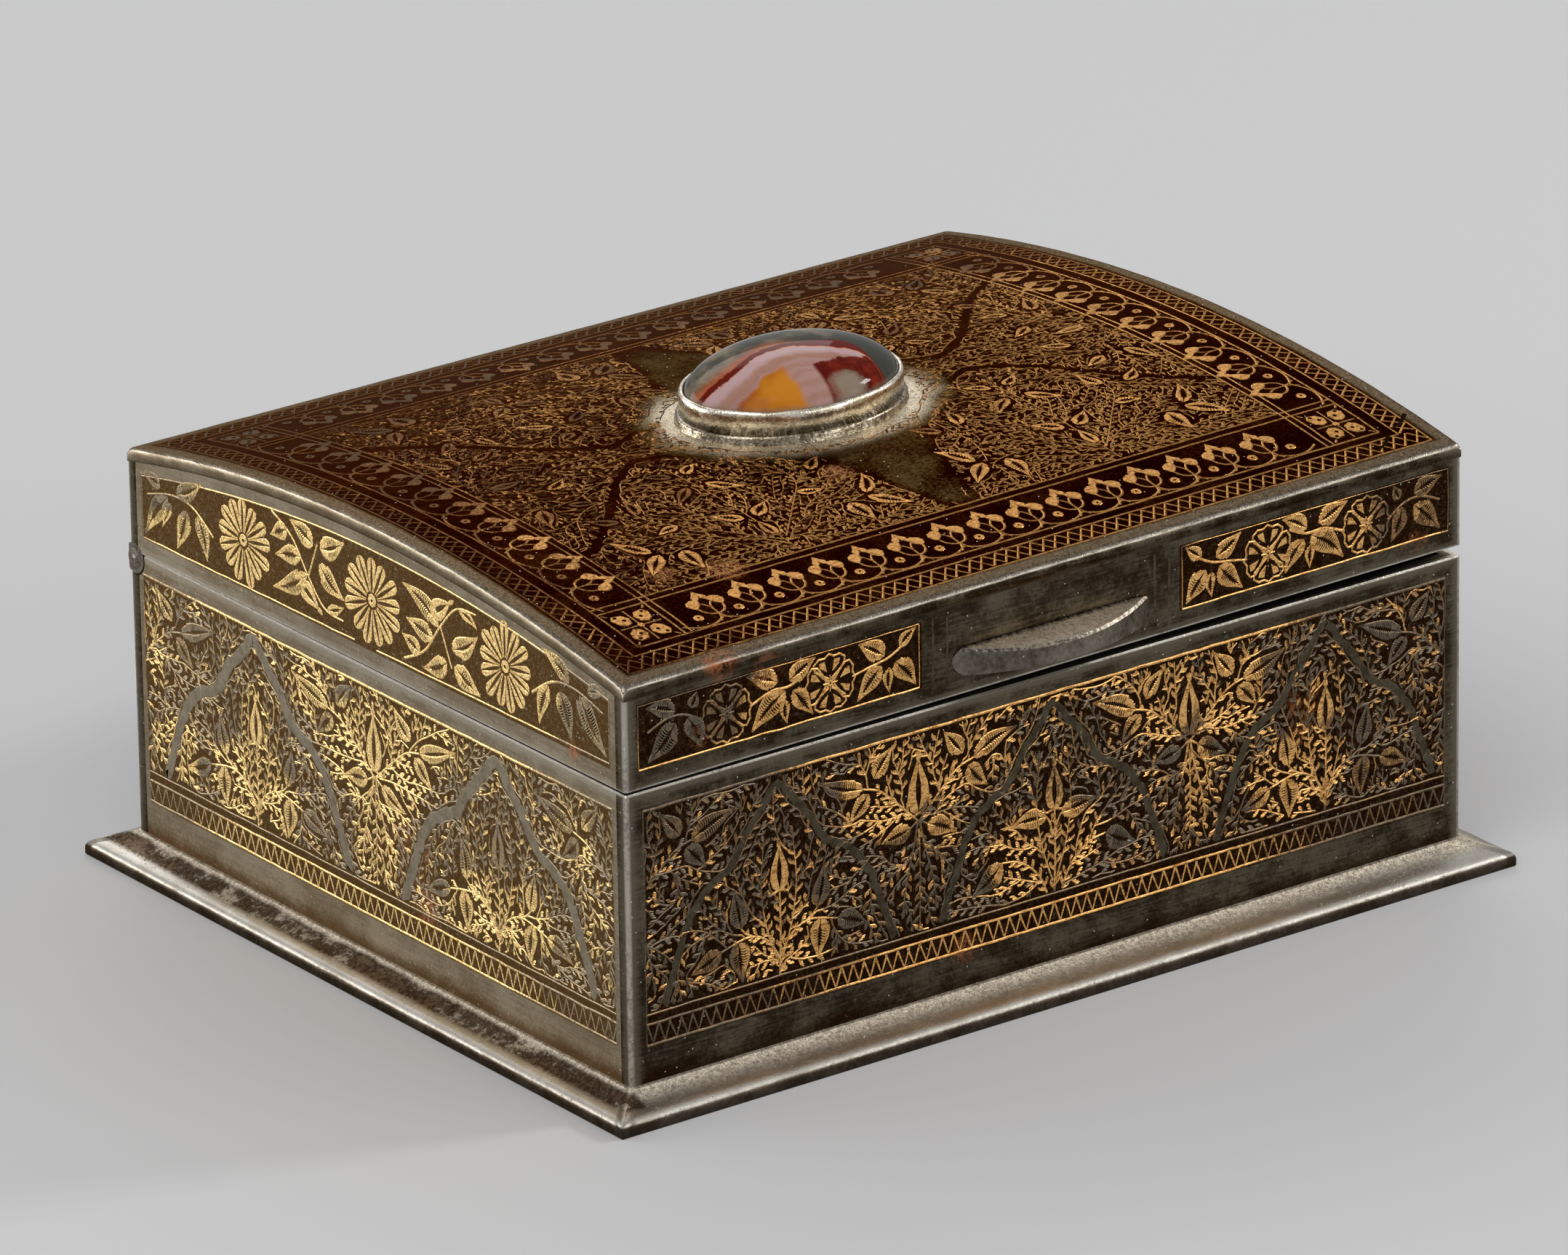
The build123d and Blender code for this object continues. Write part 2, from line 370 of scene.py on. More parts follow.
class Ground:
    """Which spots of a panel are free, kept as small cells."""

    cell = 0.2

    def __init__(self, frame_box):
        self.left, self.right, self.low, self.high = frame_box
        shape = (int((self.right - self.left) / self.cell) + 1, int((self.high - self.low) / self.cell) + 1)
        self.solid = np.zeros(shape, bool)
        self.near = np.zeros(shape, bool)
        self.inked = np.zeros(shape, bool)

    def cells(self, u, v, radius):
        i, j = (u - self.left) / self.cell, (v - self.low) / self.cell
        r = radius / self.cell
        i0, i1 = max(0, int(i - r)), min(self.solid.shape[0], int(i + r) + 2)
        j0, j1 = max(0, int(j - r)), min(self.solid.shape[1], int(j + r) + 2)
        if i0 >= i1 or j0 >= j1:
            return None
        gi, gj = np.ogrid[i0:i1, j0:j1]
        return slice(i0, i1), slice(j0, j1), (gi - i)**2 + (gj - j)**2 <= r * r

    def mark(self, grid, line, radius):
        for u, v in line:
            found = self.cells(u, v, radius)
            if found:
                grid[found[0], found[1]] |= found[2]

    def taken(self, grid, u, v):
        i = int((u - self.left) / self.cell + 0.5)
        j = int((v - self.low) / self.cell + 0.5)
        if not (0 <= i < grid.shape[0] and 0 <= j < grid.shape[1]):
            return True
        return bool(grid[i, j])

    def keep_clear(self, line, radius):
        """Leaves and flowers that twigs don't cross."""
        self.mark(self.solid, line, radius)
        self.mark(self.inked, line, radius)


class Twigs:
    """Stems that grow away from the plants' roots until the ground is full, with small tufts."""

    longest = 40

    def __init__(self, ink, roots, spacing, seed, curl):
        self.ink = ink
        self.ground = ink.ground
        self.roots = roots
        self.spacing = spacing
        self.random = random.Random(seed)
        self.curl = curl
        self.stems = []
        self.step = spacing * 0.3
        ink.twigs = self

    def away(self, u, v):
        """Direction away from the nearest root."""
        root = min(self.roots, key=lambda r: hypot(u - r[0], (v - r[1]) * r[2]))
        return atan2(v - root[1], u - root[0])

    def grow(self, start, heading, grace, least=3):
        """A stem that turns aside from what it meets. It may run beside others for its first stretch."""
        ground, line = self.ground, [start]
        sway = self.random.uniform(-1, 1) * self.curl
        u, v = start
        while len(line) < self.longest:
            drift = (self.away(u, v) - heading + pi) % tau - pi
            heading += max(-0.12, min(0.12, drift * 0.2)) + sway * 0.1 + self.random.gauss(0, 0.05)
            travelled = len(line) * self.step
            for turn in (0, 0.35, -0.35, 0.7, -0.7):
                nu = u + self.step * cos(heading + turn)
                nv = v + self.step * sin(heading + turn)
                if ground.taken(ground.solid, nu, nv) and travelled > 0.4:
                    continue
                if travelled > grace and ground.taken(ground.near, nu, nv):
                    continue
                break
            else:
                break
            heading += turn
            u, v = nu, nv
            if not self.ink.within((u, v), 0):
                break
            line.append((u, v))
        if len(line) * self.step <= grace or len(line) <= least:
            return None
        self.take(line)
        return line

    def take(self, line):
        self.ground.mark(self.ground.near, line, self.spacing * 0.5)
        self.ground.mark(self.ground.inked, line, 0.14)
        self.stems.append(line)

    def fill(self):
        """Branches off every stem in turn, then starts afresh where ground is left."""
        queue = list(self.stems)
        grace = self.spacing * 0.62
        while queue:
            stem = queue.pop(self.random.randrange(len(queue)))
            side = self.random.choice((-1, 1))
            for index in range(1, len(stem) - 1, 2):
                (u, v), (nu, nv) = stem[index], stem[index + 1]
                along = atan2(nv - v, nu - u)
                side = -side
                grown = self.grow((u, v), along + side * self.random.uniform(0.6, 1.0), grace)
                if grown:
                    queue.append(grown)
        free = np.argwhere(~(self.ground.near | self.ground.solid))
        order = list(range(len(free)))
        self.random.shuffle(order)
        for index in order:
            u = self.ground.left + free[index][0] * self.ground.cell
            v = self.ground.low + free[index][1] * self.ground.cell
            if not self.ground.taken(self.ground.near, u, v):
                self.grow((u, v), self.away(u, v) + self.random.uniform(-0.5, 0.5), 0.0, least=2)

    def draw(self, width, pitch, reach):
        """Draws the stems as wires and sets the tufts along them."""
        for stem in self.stems:
            self.ink.shake()
            self.ink.wire(stem, width * 1.05, (1.05, 0.8))
        for stem in self.stems:
            travelled = self.random.uniform(0, pitch)
            side = self.random.choice((-1, 1))
            for (u, v), (nu, nv) in zip(stem, stem[1:]):
                travelled += hypot(nu - u, nv - v)
                if travelled < pitch:
                    continue
                travelled -= pitch
                side = -side
                self.tuft_at(u, v, atan2(nv - v, nu - u), side, width, reach)
            (u, v), (nu, nv) = stem[-2], stem[-1]
            self.tuft_at(nu, nv, atan2(nv - v, nu - u), self.random.choice((-1, 1)), width, reach, 0.1)

    def tuft_at(self, u, v, along, side, width, reach, turn=0.95):
        """A stub off a stem that ends in a few short fat fingers, side by side."""
        ink, ground, rng = self.ink, self.ground, self.random
        ink.shake(0.26)
        angle = along + side * (turn + rng.uniform(-0.2, 0.2))
        length = reach * rng.uniform(0.6, 0.85)
        tip = (u + length * cos(angle), v + length * sin(angle))
        if ground.taken(ground.inked, *tip) or not ink.within(tip):
            return
        ink.wire([(u, v), tip], width * 0.95, (1.0, 0.9))
        lines = []
        finger = angle - side * rng.uniform(0.65, 0.95)
        for share in (0.3, 0.68, 1.0):
            start = between((u, v), tip, share)
            size = reach * rng.uniform(0.42, 0.62)
            end = (start[0] + size * cos(finger), start[1] + size * sin(finger))
            if ground.taken(ground.inked, *end) or not ink.within(end):
                continue
            line = bow(start, end, side * rng.uniform(0.0, 0.2), 2)
            ink.wire(line, width * rng.uniform(0.95, 1.2), (0.9, 0.75), swell=0.25)
            lines.append(line)
        for line in lines + [[tip]]:
            ground.mark(ground.inked, line[-2:], 0.16)


# Motifs

def keep_clear_along(ground, base, tip, shares, radius):
    """Keeps twigs off a leaf or bud, whose half width is a function of the share along it."""
    for share in shares:
        ground.keep_clear([between(base, tip, share)], radius(share))


def draw_leaf(ink, base, tip, width, veins=VEINS):
    if ink.within(base) and ink.within(tip):
        ink.shake()
        ink.leaf(base, tip, width, *veins)
        keep_clear_along(ink.ground, base, tip, (0.1, 0.25, 0.40, 0.55, 0.75, 0.95),
                         lambda t: max(0.2, width / 2 * np.interp(t, LEAF_ALONG, LEAF_HALF) + 0.1))


def draw_bud(ink, base, tip, width):
    if ink.within(base) and ink.within(tip):
        ink.shake()
        ink.bud(base, tip, width)
        keep_clear_along(ink.ground, base, tip, (0.0, 0.2, 0.4, 0.6, 0.8, 1.0),
                         lambda t: max(0.3, width / 2 * sin(pi * (0.1 + 0.85 * t)) + 0.15))


def draw_stem(ink, points, width):
    line = [point for point in smooth(points) if ink.within(point)]
    if len(line) > 1:
        ink.shake(0.1)
        ink.wire(line, width, (1.0, 0.8))
        ink.twigs.take(line)


def draw_plant(ink, at, parts, veins=VEINS):
    """Draws a plant's parts in turn, each a row of its kind, its width and its points."""
    for kind, width, *points in parts:
        points = [at(u, v) for u, v in points]
        if kind == "stem":
            draw_stem(ink, points, width)
        elif kind == "bud":
            draw_bud(ink, *points, width)
        else:
            draw_leaf(ink, *points, width, veins)


# The plants of the body's panels, drawn about their own axis

def standing_plant(ink, centre, foot, spread, leafy):
    """The plant under an arch: a trunk with a bud, side leaves and low arching stems."""
    draw_plant(ink, placed(centre, foot, 1, spread), [
        ("bud", 2.5, (0.1, 9.6), (0.1, 14.8)),
        ("stem", 0.36, (0, 0.2), (0.15, 5), (0.1, 9.6)),
    ])
    for side in (-1, 1):
        full = [
            ("leaf", 2.7, (1.0, 9.0), (5.9, 9.3 + 0.4 * side)),
            ("stem", 0.36, (0.2, 6.5), (0.5, 8.2), (1.0, 9.0)),
            ("leaf", 3.0, (7.0, 5.2), (11.0, 2.8 + 0.5 * side)),
            ("stem", 0.36, (1.0, 0.3), (2.2, 2.7), (4.6, 4.7), (7.0, 5.2)),
        ]
        low = [
            ("leaf", 2.4, (5.0, 6.6), (5.9, 11.2)),
            ("leaf", 2.4, (7.6, 4.6), (11.6, 3.0)),
            ("leaf", 2.7, (5.4, 5.2), (5.0, 0.6)),
            ("stem", 0.36, (0.1, 2.2), (1.6, 4.4), (4.0, 5.4), (7.6, 4.6)),
            ("stem", 0.36, (3.2, 5.2), (4.4, 5.9), (5.0, 6.6)),
        ]
        rising = [("stem", 0.28, (0.2, 1.5), (1.7, 6.0), (2.3, 10.5), (1.9, 15.5))]
        draw_plant(ink, placed(centre, foot, side, spread), (full if leafy else low) + rising)


def hanging_plant(ink, centre, foot, spread):
    """The plant between two arches: legs below a knot, a tall bud and spreading boughs above."""
    at = placed(centre, foot, 1, spread)
    draw_bud(ink, at(0, 13.6), at(0, 20.0), 3.0)
    if ink.within(at(0, 20.4)):
        ink.dot(at(0, 20.4), 0.4)
    for side in (-1, 1):
        draw_plant(ink, placed(centre, foot, side, spread), [
            ("leaf", 2.5, (1.1, 12.3), (5.0, 11.0 - 0.5 * side)),
            ("stem", 0.36, (0, 13.0), (0.5, 12.7), (1.1, 12.3)),
            ("leaf", 2.5, (7.3, 18.3), (13.2, 20.5)),
            ("leaf", 2.4, (5.9, 19.2), (3.4, 22.2)),
            ("leaf", 2.3, (6.6, 17.6), (9.2, 14.8)),
            ("stem", 0.36, (0.2, 13.0), (3.1, 15.8), (5.2, 17.6), (7.3, 18.3)),
            ("stem", 0.36, (0.1, 13.0), (0.6, 10.5), (1.6, 6.8), (2.2, 3.4)),
        ])
    draw_stem(ink, [at(0, 12.0), at(0.1, 7.0), at(0, 1.4)], 0.28)


ARCH = [(0, 21.8), (2.0, 19.6), (4.2, 17.1), (6.1, 14.1), (8.6, 12.7),
        (10.3, 11.3), (12.0, 8.8), (12.8, 6.6), (13.9, 3.8), (15.0, 0.6)]
ARCH_BAND, END_ARCH_BAND = 1.1, 1.6
WAVER_STEP = 2.0


def arch(ink, centre, foot, spread, band):
    """The bare pointed band over a plant, drawn from foot to foot."""
    half = [(u * spread, v) for u, v in ARCH]
    whole = [(-u, v) for u, v in reversed(half[1:])] + half
    line = smooth([(centre + u, foot + v) for u, v in whole])
    uneven = [(u + ink.random.gauss(0, 0.09), v + ink.random.gauss(0, 0.09)) for u, v in line]
    ink.wire(uneven, band, proud=FLUSH, flat=True, kind=BARE)
    ink.ground.keep_clear(line, band / 2 - 0.25)
    ink.ground.mark(ink.ground.near, line, band / 2 - 0.1)


def zigzag(ink, left, right, low, high, pitch):
    """A row of V strokes between two lines."""
    count = round((right - left) / pitch)
    pitch = (right - left) / count
    inset = 0.2
    for k in range(count):
        u = left + (k + ink.random.uniform(-0.06, 0.06)) * pitch
        ink.shake(0.08)
        lean = ink.random.uniform(-0.12, 0.12)
        ink.wire([(u + lean, high - inset), (u + pitch / 2, low + inset)], 0.28, (1.1, 0.8))
        ink.wire([(u + pitch, high - inset), (u + pitch / 2 + 0.08, low + inset)], 0.29, (1.1, 0.8))


def long_line(ink, start, end, width, kind=GOLD, proud=PROUD):
    """A straight line that wavers a little, as one cut by hand does."""
    count = max(2, round(hypot(end[0] - start[0], end[1] - start[1]) / WAVER_STEP))
    flat = abs(end[0] - start[0]) > abs(end[1] - start[1])
    line = []
    for k in range(count + 1):
        waver = ink.random.gauss(0, 0.025)
        u, v = between(start, end, k / count)
        line.append((u, v + waver) if flat else (u + waver, v))
    ink.shake(0.04)
    ink.wire(line, width, proud=proud, kind=kind)


# Body panels

FIELD_LOW, FIELD_HIGH = 10.95, 34.0
BORDER_LOW, BORDER_HIGH = 7.5, 9.9
BODY_GHOST = 0.12


def patches(spots, ghost):
    """How much gold is left over a panel: soft spots of it over a worn ground."""
    def wear(u, v):
        most = ghost
        for pu, pv, ru, rv, gold in spots:
            distance = ((u - pu) / ru)**2 + ((v - pv) / rv)**2
            most = max(most, ghost + (gold - ghost) * clamp(1.6 - distance))
        return most
    return wear


def body_panel(side, arches, between_arches, spread, edge, spots, seed):
    """One wall's garden of arches over a zigzag border."""
    ground = Ground((-edge, edge, FIELD_LOW, FIELD_HIGH))
    for height in (FIELD_HIGH, FIELD_LOW):
        ground.keep_clear([(-edge + k * 0.4, height) for k in range(int(edge * 5))], 0.3)
    frame_box = (-edge, edge, BORDER_LOW - 0.3, FIELD_HIGH + 0.2)
    ink = Ink(upright(*SIDES[side], False), frame_box, patches(spots, BODY_GHOST), seed, ground)
    roots = [(centre, FIELD_LOW, 0.8) for centre in arches]
    roots += [(centre, FIELD_LOW + 13.0, 1.0) for centre in between_arches]
    twigs = Twigs(ink, roots, 2.05, seed + 1, curl=0.5)
    long_wall = len(arches) == 3
    for centre in arches:
        arch(ink, centre, FIELD_LOW, spread, ARCH_BAND if long_wall else END_ARCH_BAND)
    for index, centre in enumerate(arches):
        standing_plant(ink, centre, FIELD_LOW, spread, long_wall and index == 1)
    for centre in between_arches:
        hanging_plant(ink, centre, FIELD_LOW, spread)
    twigs.fill()
    twigs.draw(0.26, 0.62, 1.0)
    long_line(ink, (-edge, FIELD_HIGH), (edge, FIELD_HIGH), 0.42)
    ink.wear = patches([], BODY_GHOST)
    long_line(ink, (-edge, FIELD_LOW), (edge, FIELD_LOW), 0.26)
    ink.wear = patches(spots, BODY_GHOST)
    for height in (BORDER_LOW, BORDER_HIGH):
        long_line(ink, (-edge, height), (edge, height), 0.36)
    zigzag(ink, -edge, edge, BORDER_LOW, BORDER_HIGH, 1.5)
    for u in (-edge, edge):
        long_line(ink, (u, BORDER_LOW), (u, FIELD_HIGH), 0.16)
    return ink.mesh("gold_inlay_body_" + side)


# Where gold is left on a wall: middle, half width, half height, and how much of it

FRONT_SPOTS = [
    (-36, 14.5, 5.8, 4, 0.9), (-36, 22.5, 2.2, 3.5, 0.45), (-22, 28.5, 5.6, 5, 0.9),
    (-12.5, 29.5, 6.6, 4.0, 0.75), (-15, 22.5, 3.2, 2.4, 0.45), (-1, 16.5, 7.2, 4.6, 0.85),
    (0.3, 23.5, 2.2, 3, 0.45), (15, 29.5, 4.6, 4.6, 0.75), (19.5, 19, 2.0, 6, 0.6),
    (24, 28.5, 4.2, 5, 0.75), (33, 16, 5.8, 5, 0.9), (37, 24, 2.6, 2.6, 0.45),
    (0, 8.7, 36, 1.5, 1.0), (0, 34.2, 30, 1.2, 0.9),
]
LEFT_SPOTS = [
    (-22.5, 15, 7.5, 5, 0.95), (-22.5, 23, 2.4, 4, 0.8), (0, 26, 9, 6, 0.95), (0, 17, 3.5, 6, 0.85),
    (9, 31, 7, 3, 0.8), (-12, 30, 4, 3, 0.7), (21, 14.5, 7, 4, 0.95), (28, 16, 4, 4, 0.7),
    (22, 21, 2, 2.5, 0.4), (-38, 15, 4, 4, 0.85), (-42, 26, 2.5, 5, 0.5), (36, 28, 4, 4, 0.45),
    (-2, 8.6, 34, 1.5, 1.0), (-2, 34.2, 28, 0.9, 0.9), (40, 20, 2, 5, 0.4),
]
BACK_SPOTS = [
    (-30, 17, 12, 8, 0.9), (-6, 27, 12, 8, 0.7), (12, 16, 9, 6, 0.95), (34, 25, 9, 9, 0.75),
    (0, 8.7, 34, 1.5, 0.9), (5, 34.2, 32, 1.2, 0.85),
]
RIGHT_SPOTS = [
    (8, 20, 20, 14, 0.95), (-22, 16, 9, 6, 0.85), (-30, 29, 6, 5, 0.6), (34, 15, 6, 6, 0.6),
    (0, 8.7, 32, 1.5, 0.95), (4, 34.2, 28, 1.2, 0.9),
]


# Lid walls

STRIP_LOW, STRIP_HIGH = 2.1, 9.25


def daisy(ink, centre, radius, petals=13):
    """A flower of petals that are each split by a slit."""
    ink.shake(0.05)
    shape = [(0.2, 0.3), (0.35, 0.55), (0.52, 0.78), (0.7, 1.0), (0.86, 1.15), (0.96, 0.8), (1.0, 0.15)]
    wide = radius * 0.14
    for k in range(petals):
        angle = tau * (k + ink.random.uniform(-0.07, 0.07)) / petals
        scale = radius * ink.random.uniform(0.9, 1.05)
        for side in (-1, 1):
            outer = [(side * wide * w, scale * t) for t, w in shape]
            slit = [(side * wide * (0.08 + 0.2 * sin(pi * min(1.0, t / 0.9))) * min(1.0, w * 2), scale * t)
                    for t, w in shape]
            ink.half(turned(outer, centre, angle), turned(slit, centre, angle), side)
    ink.dot(centre, radius * 0.15, 0.22)
    ink.ground.keep_clear([centre], radius + 0.2)


def rose(ink, centre, radius):
    """A flower of four notched petals with veins, and leaf tips between them."""
    ink.shake(0.06)

    def drawn(points, angle):
        return turned([(radius * u, radius * v) for u, v in points], centre, angle)

    outline = [(0.05, 0.16), (0.34, 0.34), (0.62, 0.56), (0.66, 0.8), (0.44, 0.96), (0.2, 0.94), (0, 1.06)]
    petal = outline + [(-u, v) for u, v in reversed(outline[:-1])]
    for k in range(4):
        angle = k * pi / 2 + ink.random.uniform(-0.06, 0.06)
        ink.wire(drawn(petal, angle), 0.32)
        for side in (-1, 1):
            blade = [(side * u, v) for u, v in ((0.1, 0.4), (0.4, 0.62), (0.46, 0.8), (0.2, 0.84))]
            ink.plate(drawn(blade[::side], angle), inset=0.08)
        ink.wire(drawn([(0, 0.3), (0, 0.98)], angle + pi / 4), 0.42, (1.2, 0.3))
    for k in range(8):
        ink.wire(drawn([(0, 0.07), (0, 0.3)], k * pi / 4), 0.24)
    ink.dot(centre, radius * 0.13, 0.14)
    ink.ground.keep_clear([centre], radius + 0.2)


def sprig(ink, at, stem, leaves):
    """A stem with large leaves, each a row of its base, its tip and its width."""
    ink.shake(0.08)
    ink.wire(smooth([at(u, v) for u, v in stem]), 0.42, (1.0, 0.7))
    for base_u, base_v, tip_u, tip_v, width in leaves:
        draw_leaf(ink, at(base_u, base_v), at(tip_u, tip_v), width)


def vine_between(ink, left, right, low, high, flip):
    """The vine that fills the room between two flowers of an end wall."""
    tall = high - low
    at = placed(left, high if flip else low, 1, right - left, -tall if flip else tall)
    sprig(ink, at, [(0.02, 0.98), (0.3, 0.78), (0.52, 0.42), (0.74, 0.14), (1.0, 0.1)], [
        (0.24, 0.84, 0.0, 0.7, 2.2), (0.42, 0.6, 0.06, 0.5, 2.4), (0.5, 0.42, 0.02, 0.12, 2.9),
        (0.6, 0.8, 0.28, 0.98, 2.6), (0.7, 0.8, 1.04, 1.0, 2.8), (0.68, 0.62, 1.02, 0.34, 2.9),
        (0.78, 0.14, 1.02, 0.26, 1.5),
    ])
    ink.wire(smooth([at(0.52, 0.42), at(0.6, 0.66), at(0.66, 0.84)]), 0.34)
    draw_bud(ink, at(0.4, 0.32), at(0.66, 0.1), 2.6)


def lid_end(side, spots, seed):
    """Three daisies and their vines under the vault's curve."""
    edge = 43.3
    frame_box = (-edge, edge, STRIP_LOW, SIDE_HEIGHT + RISE)
    ink = Ink(upright(*SIDES[side], True), frame_box, patches(spots, 0.14), seed, Ground(frame_box))

    def top(u):
        return vault_rise(u) - 3.0

    ink.shake(0.03)
    ink.wire([(u, top(u)) for u in np.linspace(-edge, edge, 60)], 0.24)
    long_line(ink, (-edge, STRIP_LOW), (edge, STRIP_LOW), 0.26)
    for u in (-edge, edge):
        ink.wire([(u, STRIP_LOW), (u, top(u))], 0.2)
    flowers = [(-23.8, 7.4, 5.1), (0.4, 7.6, 5.3), (24.8, 7.4, 5.0)]
    for u, v, radius in flowers:
        daisy(ink, (u, v), radius)
    for index, (a, b) in enumerate(zip(flowers, flowers[1:])):
        low, high = STRIP_LOW + 0.5, top((a[0] + b[0]) / 2) - 0.4
        vine_between(ink, a[0] + a[2] + 0.2, b[0] - b[2] - 0.2, low, high, index == 1)
    for mirror in (-1, 1):
        sprig(ink, placed(0, 0, mirror), [(29.6, 6.0), (33.4, 8.3), (37.5, 8.6), (42.3, 7.4)], [
            (32.6, 7.6, 30.8, 2.8, 2.5), (34.6, 7.6, 36.6, 2.7, 2.9), (36.4, 9.0, 31.6, 11.6, 2.5),
            (38.2, 8.2, 42.8, 2.7, 3.2), (39.6, 9.0, 43.0, 9.8, 1.8), (37.6, 7.6, 39.4, 4.4, 1.4),
        ])
    return ink.mesh("gold_inlay_lid_" + side)


def lid_long(side, spots, seed):
    """Two framed panels of roses and leaves, either side of the thumb-piece."""
    frame_box = (-54.6, 54.6, STRIP_LOW - 0.1, STRIP_HIGH + 0.1)
    ink = Ink(upright(*SIDES[side], True), frame_box, patches(spots, 0.12), seed, Ground(frame_box))
    inner, outer = 17.6, 54.2
    for mirror in (-1, 1):
        at = placed(0, 0, mirror)
        left, right = sorted((mirror * inner, mirror * outer))
        for v, width in ((STRIP_LOW, 0.26), (STRIP_HIGH, 0.14)):
            long_line(ink, (left, v), (right, v), width)
        for u in (inner, outer):
            long_line(ink, at(u, STRIP_LOW), at(u, STRIP_HIGH), 0.16)
        for u in (29.3, 42.8):
            rose(ink, at(u, 5.6), 3.1)
        for u in (13.9, 15.8):
            long_line(ink, at(u, STRIP_LOW), at(u, STRIP_HIGH), 0.5, kind=BARE, proud=FLUSH)
        sprig(ink, at, [(18.6, 8.2), (21.4, 6.6), (24.4, 6.0), (26.4, 5.6)], [
            (20.8, 5.8, 18.1, 2.6, 2.7), (22.6, 5.8, 25.8, 2.6, 2.7), (22.2, 6.9, 25.6, 9.0, 2.5),
            (20.2, 7.4, 18.0, 9.1, 1.8), (21.6, 5.4, 21.6, 2.5, 1.4), (34.2, 6.0, 31.6, 2.7, 2.3),
            (35.2, 6.2, 39.6, 2.7, 3.0), (34.6, 7.2, 31.2, 9.0, 2.4), (36.2, 7.4, 40.2, 9.0, 2.4),
            (35.2, 5.2, 35.0, 2.5, 1.4), (47.8, 6.4, 46.2, 2.7, 2.4), (49.4, 6.2, 53.0, 2.7, 2.9),
            (49.4, 7.6, 53.2, 8.8, 2.3), (47.4, 7.4, 46.6, 9.1, 1.6),
        ])
        ink.wire(smooth([at(32.2, 7.6), at(34.6, 6.6), at(37.0, 6.6), at(39.8, 5.6)]), 0.4)
        ink.wire(smooth([at(45.8, 5.4), at(48.0, 6.8), at(50.4, 7.0), at(53.0, 6.0)]), 0.36)
    return ink.mesh("gold_inlay_lid_" + side)


LID_FRONT_SPOTS = [
    (-28, 5.6, 11.5, 6, 0.95), (-20, 4, 3, 4, 0.9), (-36, 2.1, 18, 0.5, 0.95), (-54, 3.5, 0.8, 2, 0.9),
    (30, 5.6, 12, 6, 0.95), (20, 4, 3, 4, 0.7), (36, 2.1, 16, 0.5, 0.9),
]
LID_LEFT_SPOTS = [(0, 7, 29, 14, 1.0), (-37, 4, 5, 2.6, 0.8), (-20, 2.1, 20, 0.5, 0.9), (30, 6, 4, 6, 0.8)]
LID_BACK_SPOTS = [(-30, 5.6, 13, 6, 0.8), (34, 5.6, 12, 6, 0.7), (36, 2.1, 16, 0.5, 0.8)]
LID_RIGHT_SPOTS = [(4, 7, 27, 14, 0.95), (-30, 6, 6, 6, 0.7), (34, 5, 5, 4, 0.6)]


# The top of the lid

# One half of a palmette: its outer edge, and its inner edge round the eye

PALMETTE_OUT = [(0.03, 5.65), (0.4, 4.95), (0.86, 4.4), (0.8, 3.98), (1.3, 4.08), (1.9, 3.7),
                (2.15, 3.1), (1.92, 2.5), (1.55, 2.15)]
PALMETTE_IN = [(0.0, 4.7), (0.01, 4.3), (0.06, 3.95), (0.4, 3.72), (0.48, 3.35), (0.56, 2.95),
               (0.8, 2.6), (1.05, 2.4), (1.3, 2.2)]


def palmette(ink, base, angle):
    """Three joined lobes round a bare eye, on stems that meet at a small foot."""
    ink.shake(0.08)
    wobble = ink.random.uniform(1.02, 1.14)
    for side in (-1, 1):
        outer, inner = (turned([(side * u * wobble, v) for u, v in half], base, angle)
                        for half in (PALMETTE_OUT, PALMETTE_IN))
        ink.half(outer, inner, side)
        core = [(side * 0.6, 2.95), (side * 0.25, 2.45), (side * 0.04, 1.8), (0, 0.55)]
        ink.wire(turned(smooth(core, 0.6), base, angle), 0.3)
        stalk = [(side * 1.6, 2.35), (side * 1.4, 1.5), (side * 0.85, 0.8), (0, 0.5)]
        ink.wire(turned(smooth(stalk, 0.6), base, angle), 0.36)
        foot = [(0, 0.5), (side * 0.25, -0.2), (side * 0.7, -0.95)]
        ink.wire(turned(foot, base, angle), 0.34)


def palmette_row(ink, at, first, pitch, count, reach, angle, sag, dot):
    """Palmettes along one side of the border, with scallops and dots at their feet."""
    places = [first + pitch * k for k in range(count)]
    for along in places:
        palmette(ink, at(along, 0), angle)
    for along in [first - pitch] + places:
        ink.shake(0.08)
        start, end = max(-reach, along), min(reach, along + pitch)
        ink.wire(bow(at(start, 0.2), at(end, 0.2), sag, 8), 0.36)
        ink.dot(at(along + pitch / 2, -0.6), dot, 0.2)


def lattice(ink, start, end, across):
    """Two zigzags that cross, which read as a chain of lozenges."""
    du, dv = end[0] - start[0], end[1] - start[1]
    count = round(hypot(du, dv) / LATTICE_PITCH)

    def spot(t, side):
        return start[0] + du * t + across[0] * side, start[1] + dv * t + across[1] * side

    for k in range(count):
        for low, high in ((0.1, 0.9), (0.9, 0.1)):
            ink.shake(0.1)
            shift = ink.random.uniform(-0.08, 0.08) / count
            ink.wire([spot(k / count + shift, low), spot((k + 1) / count + shift, high)], 0.32, (1.15, 0.85))


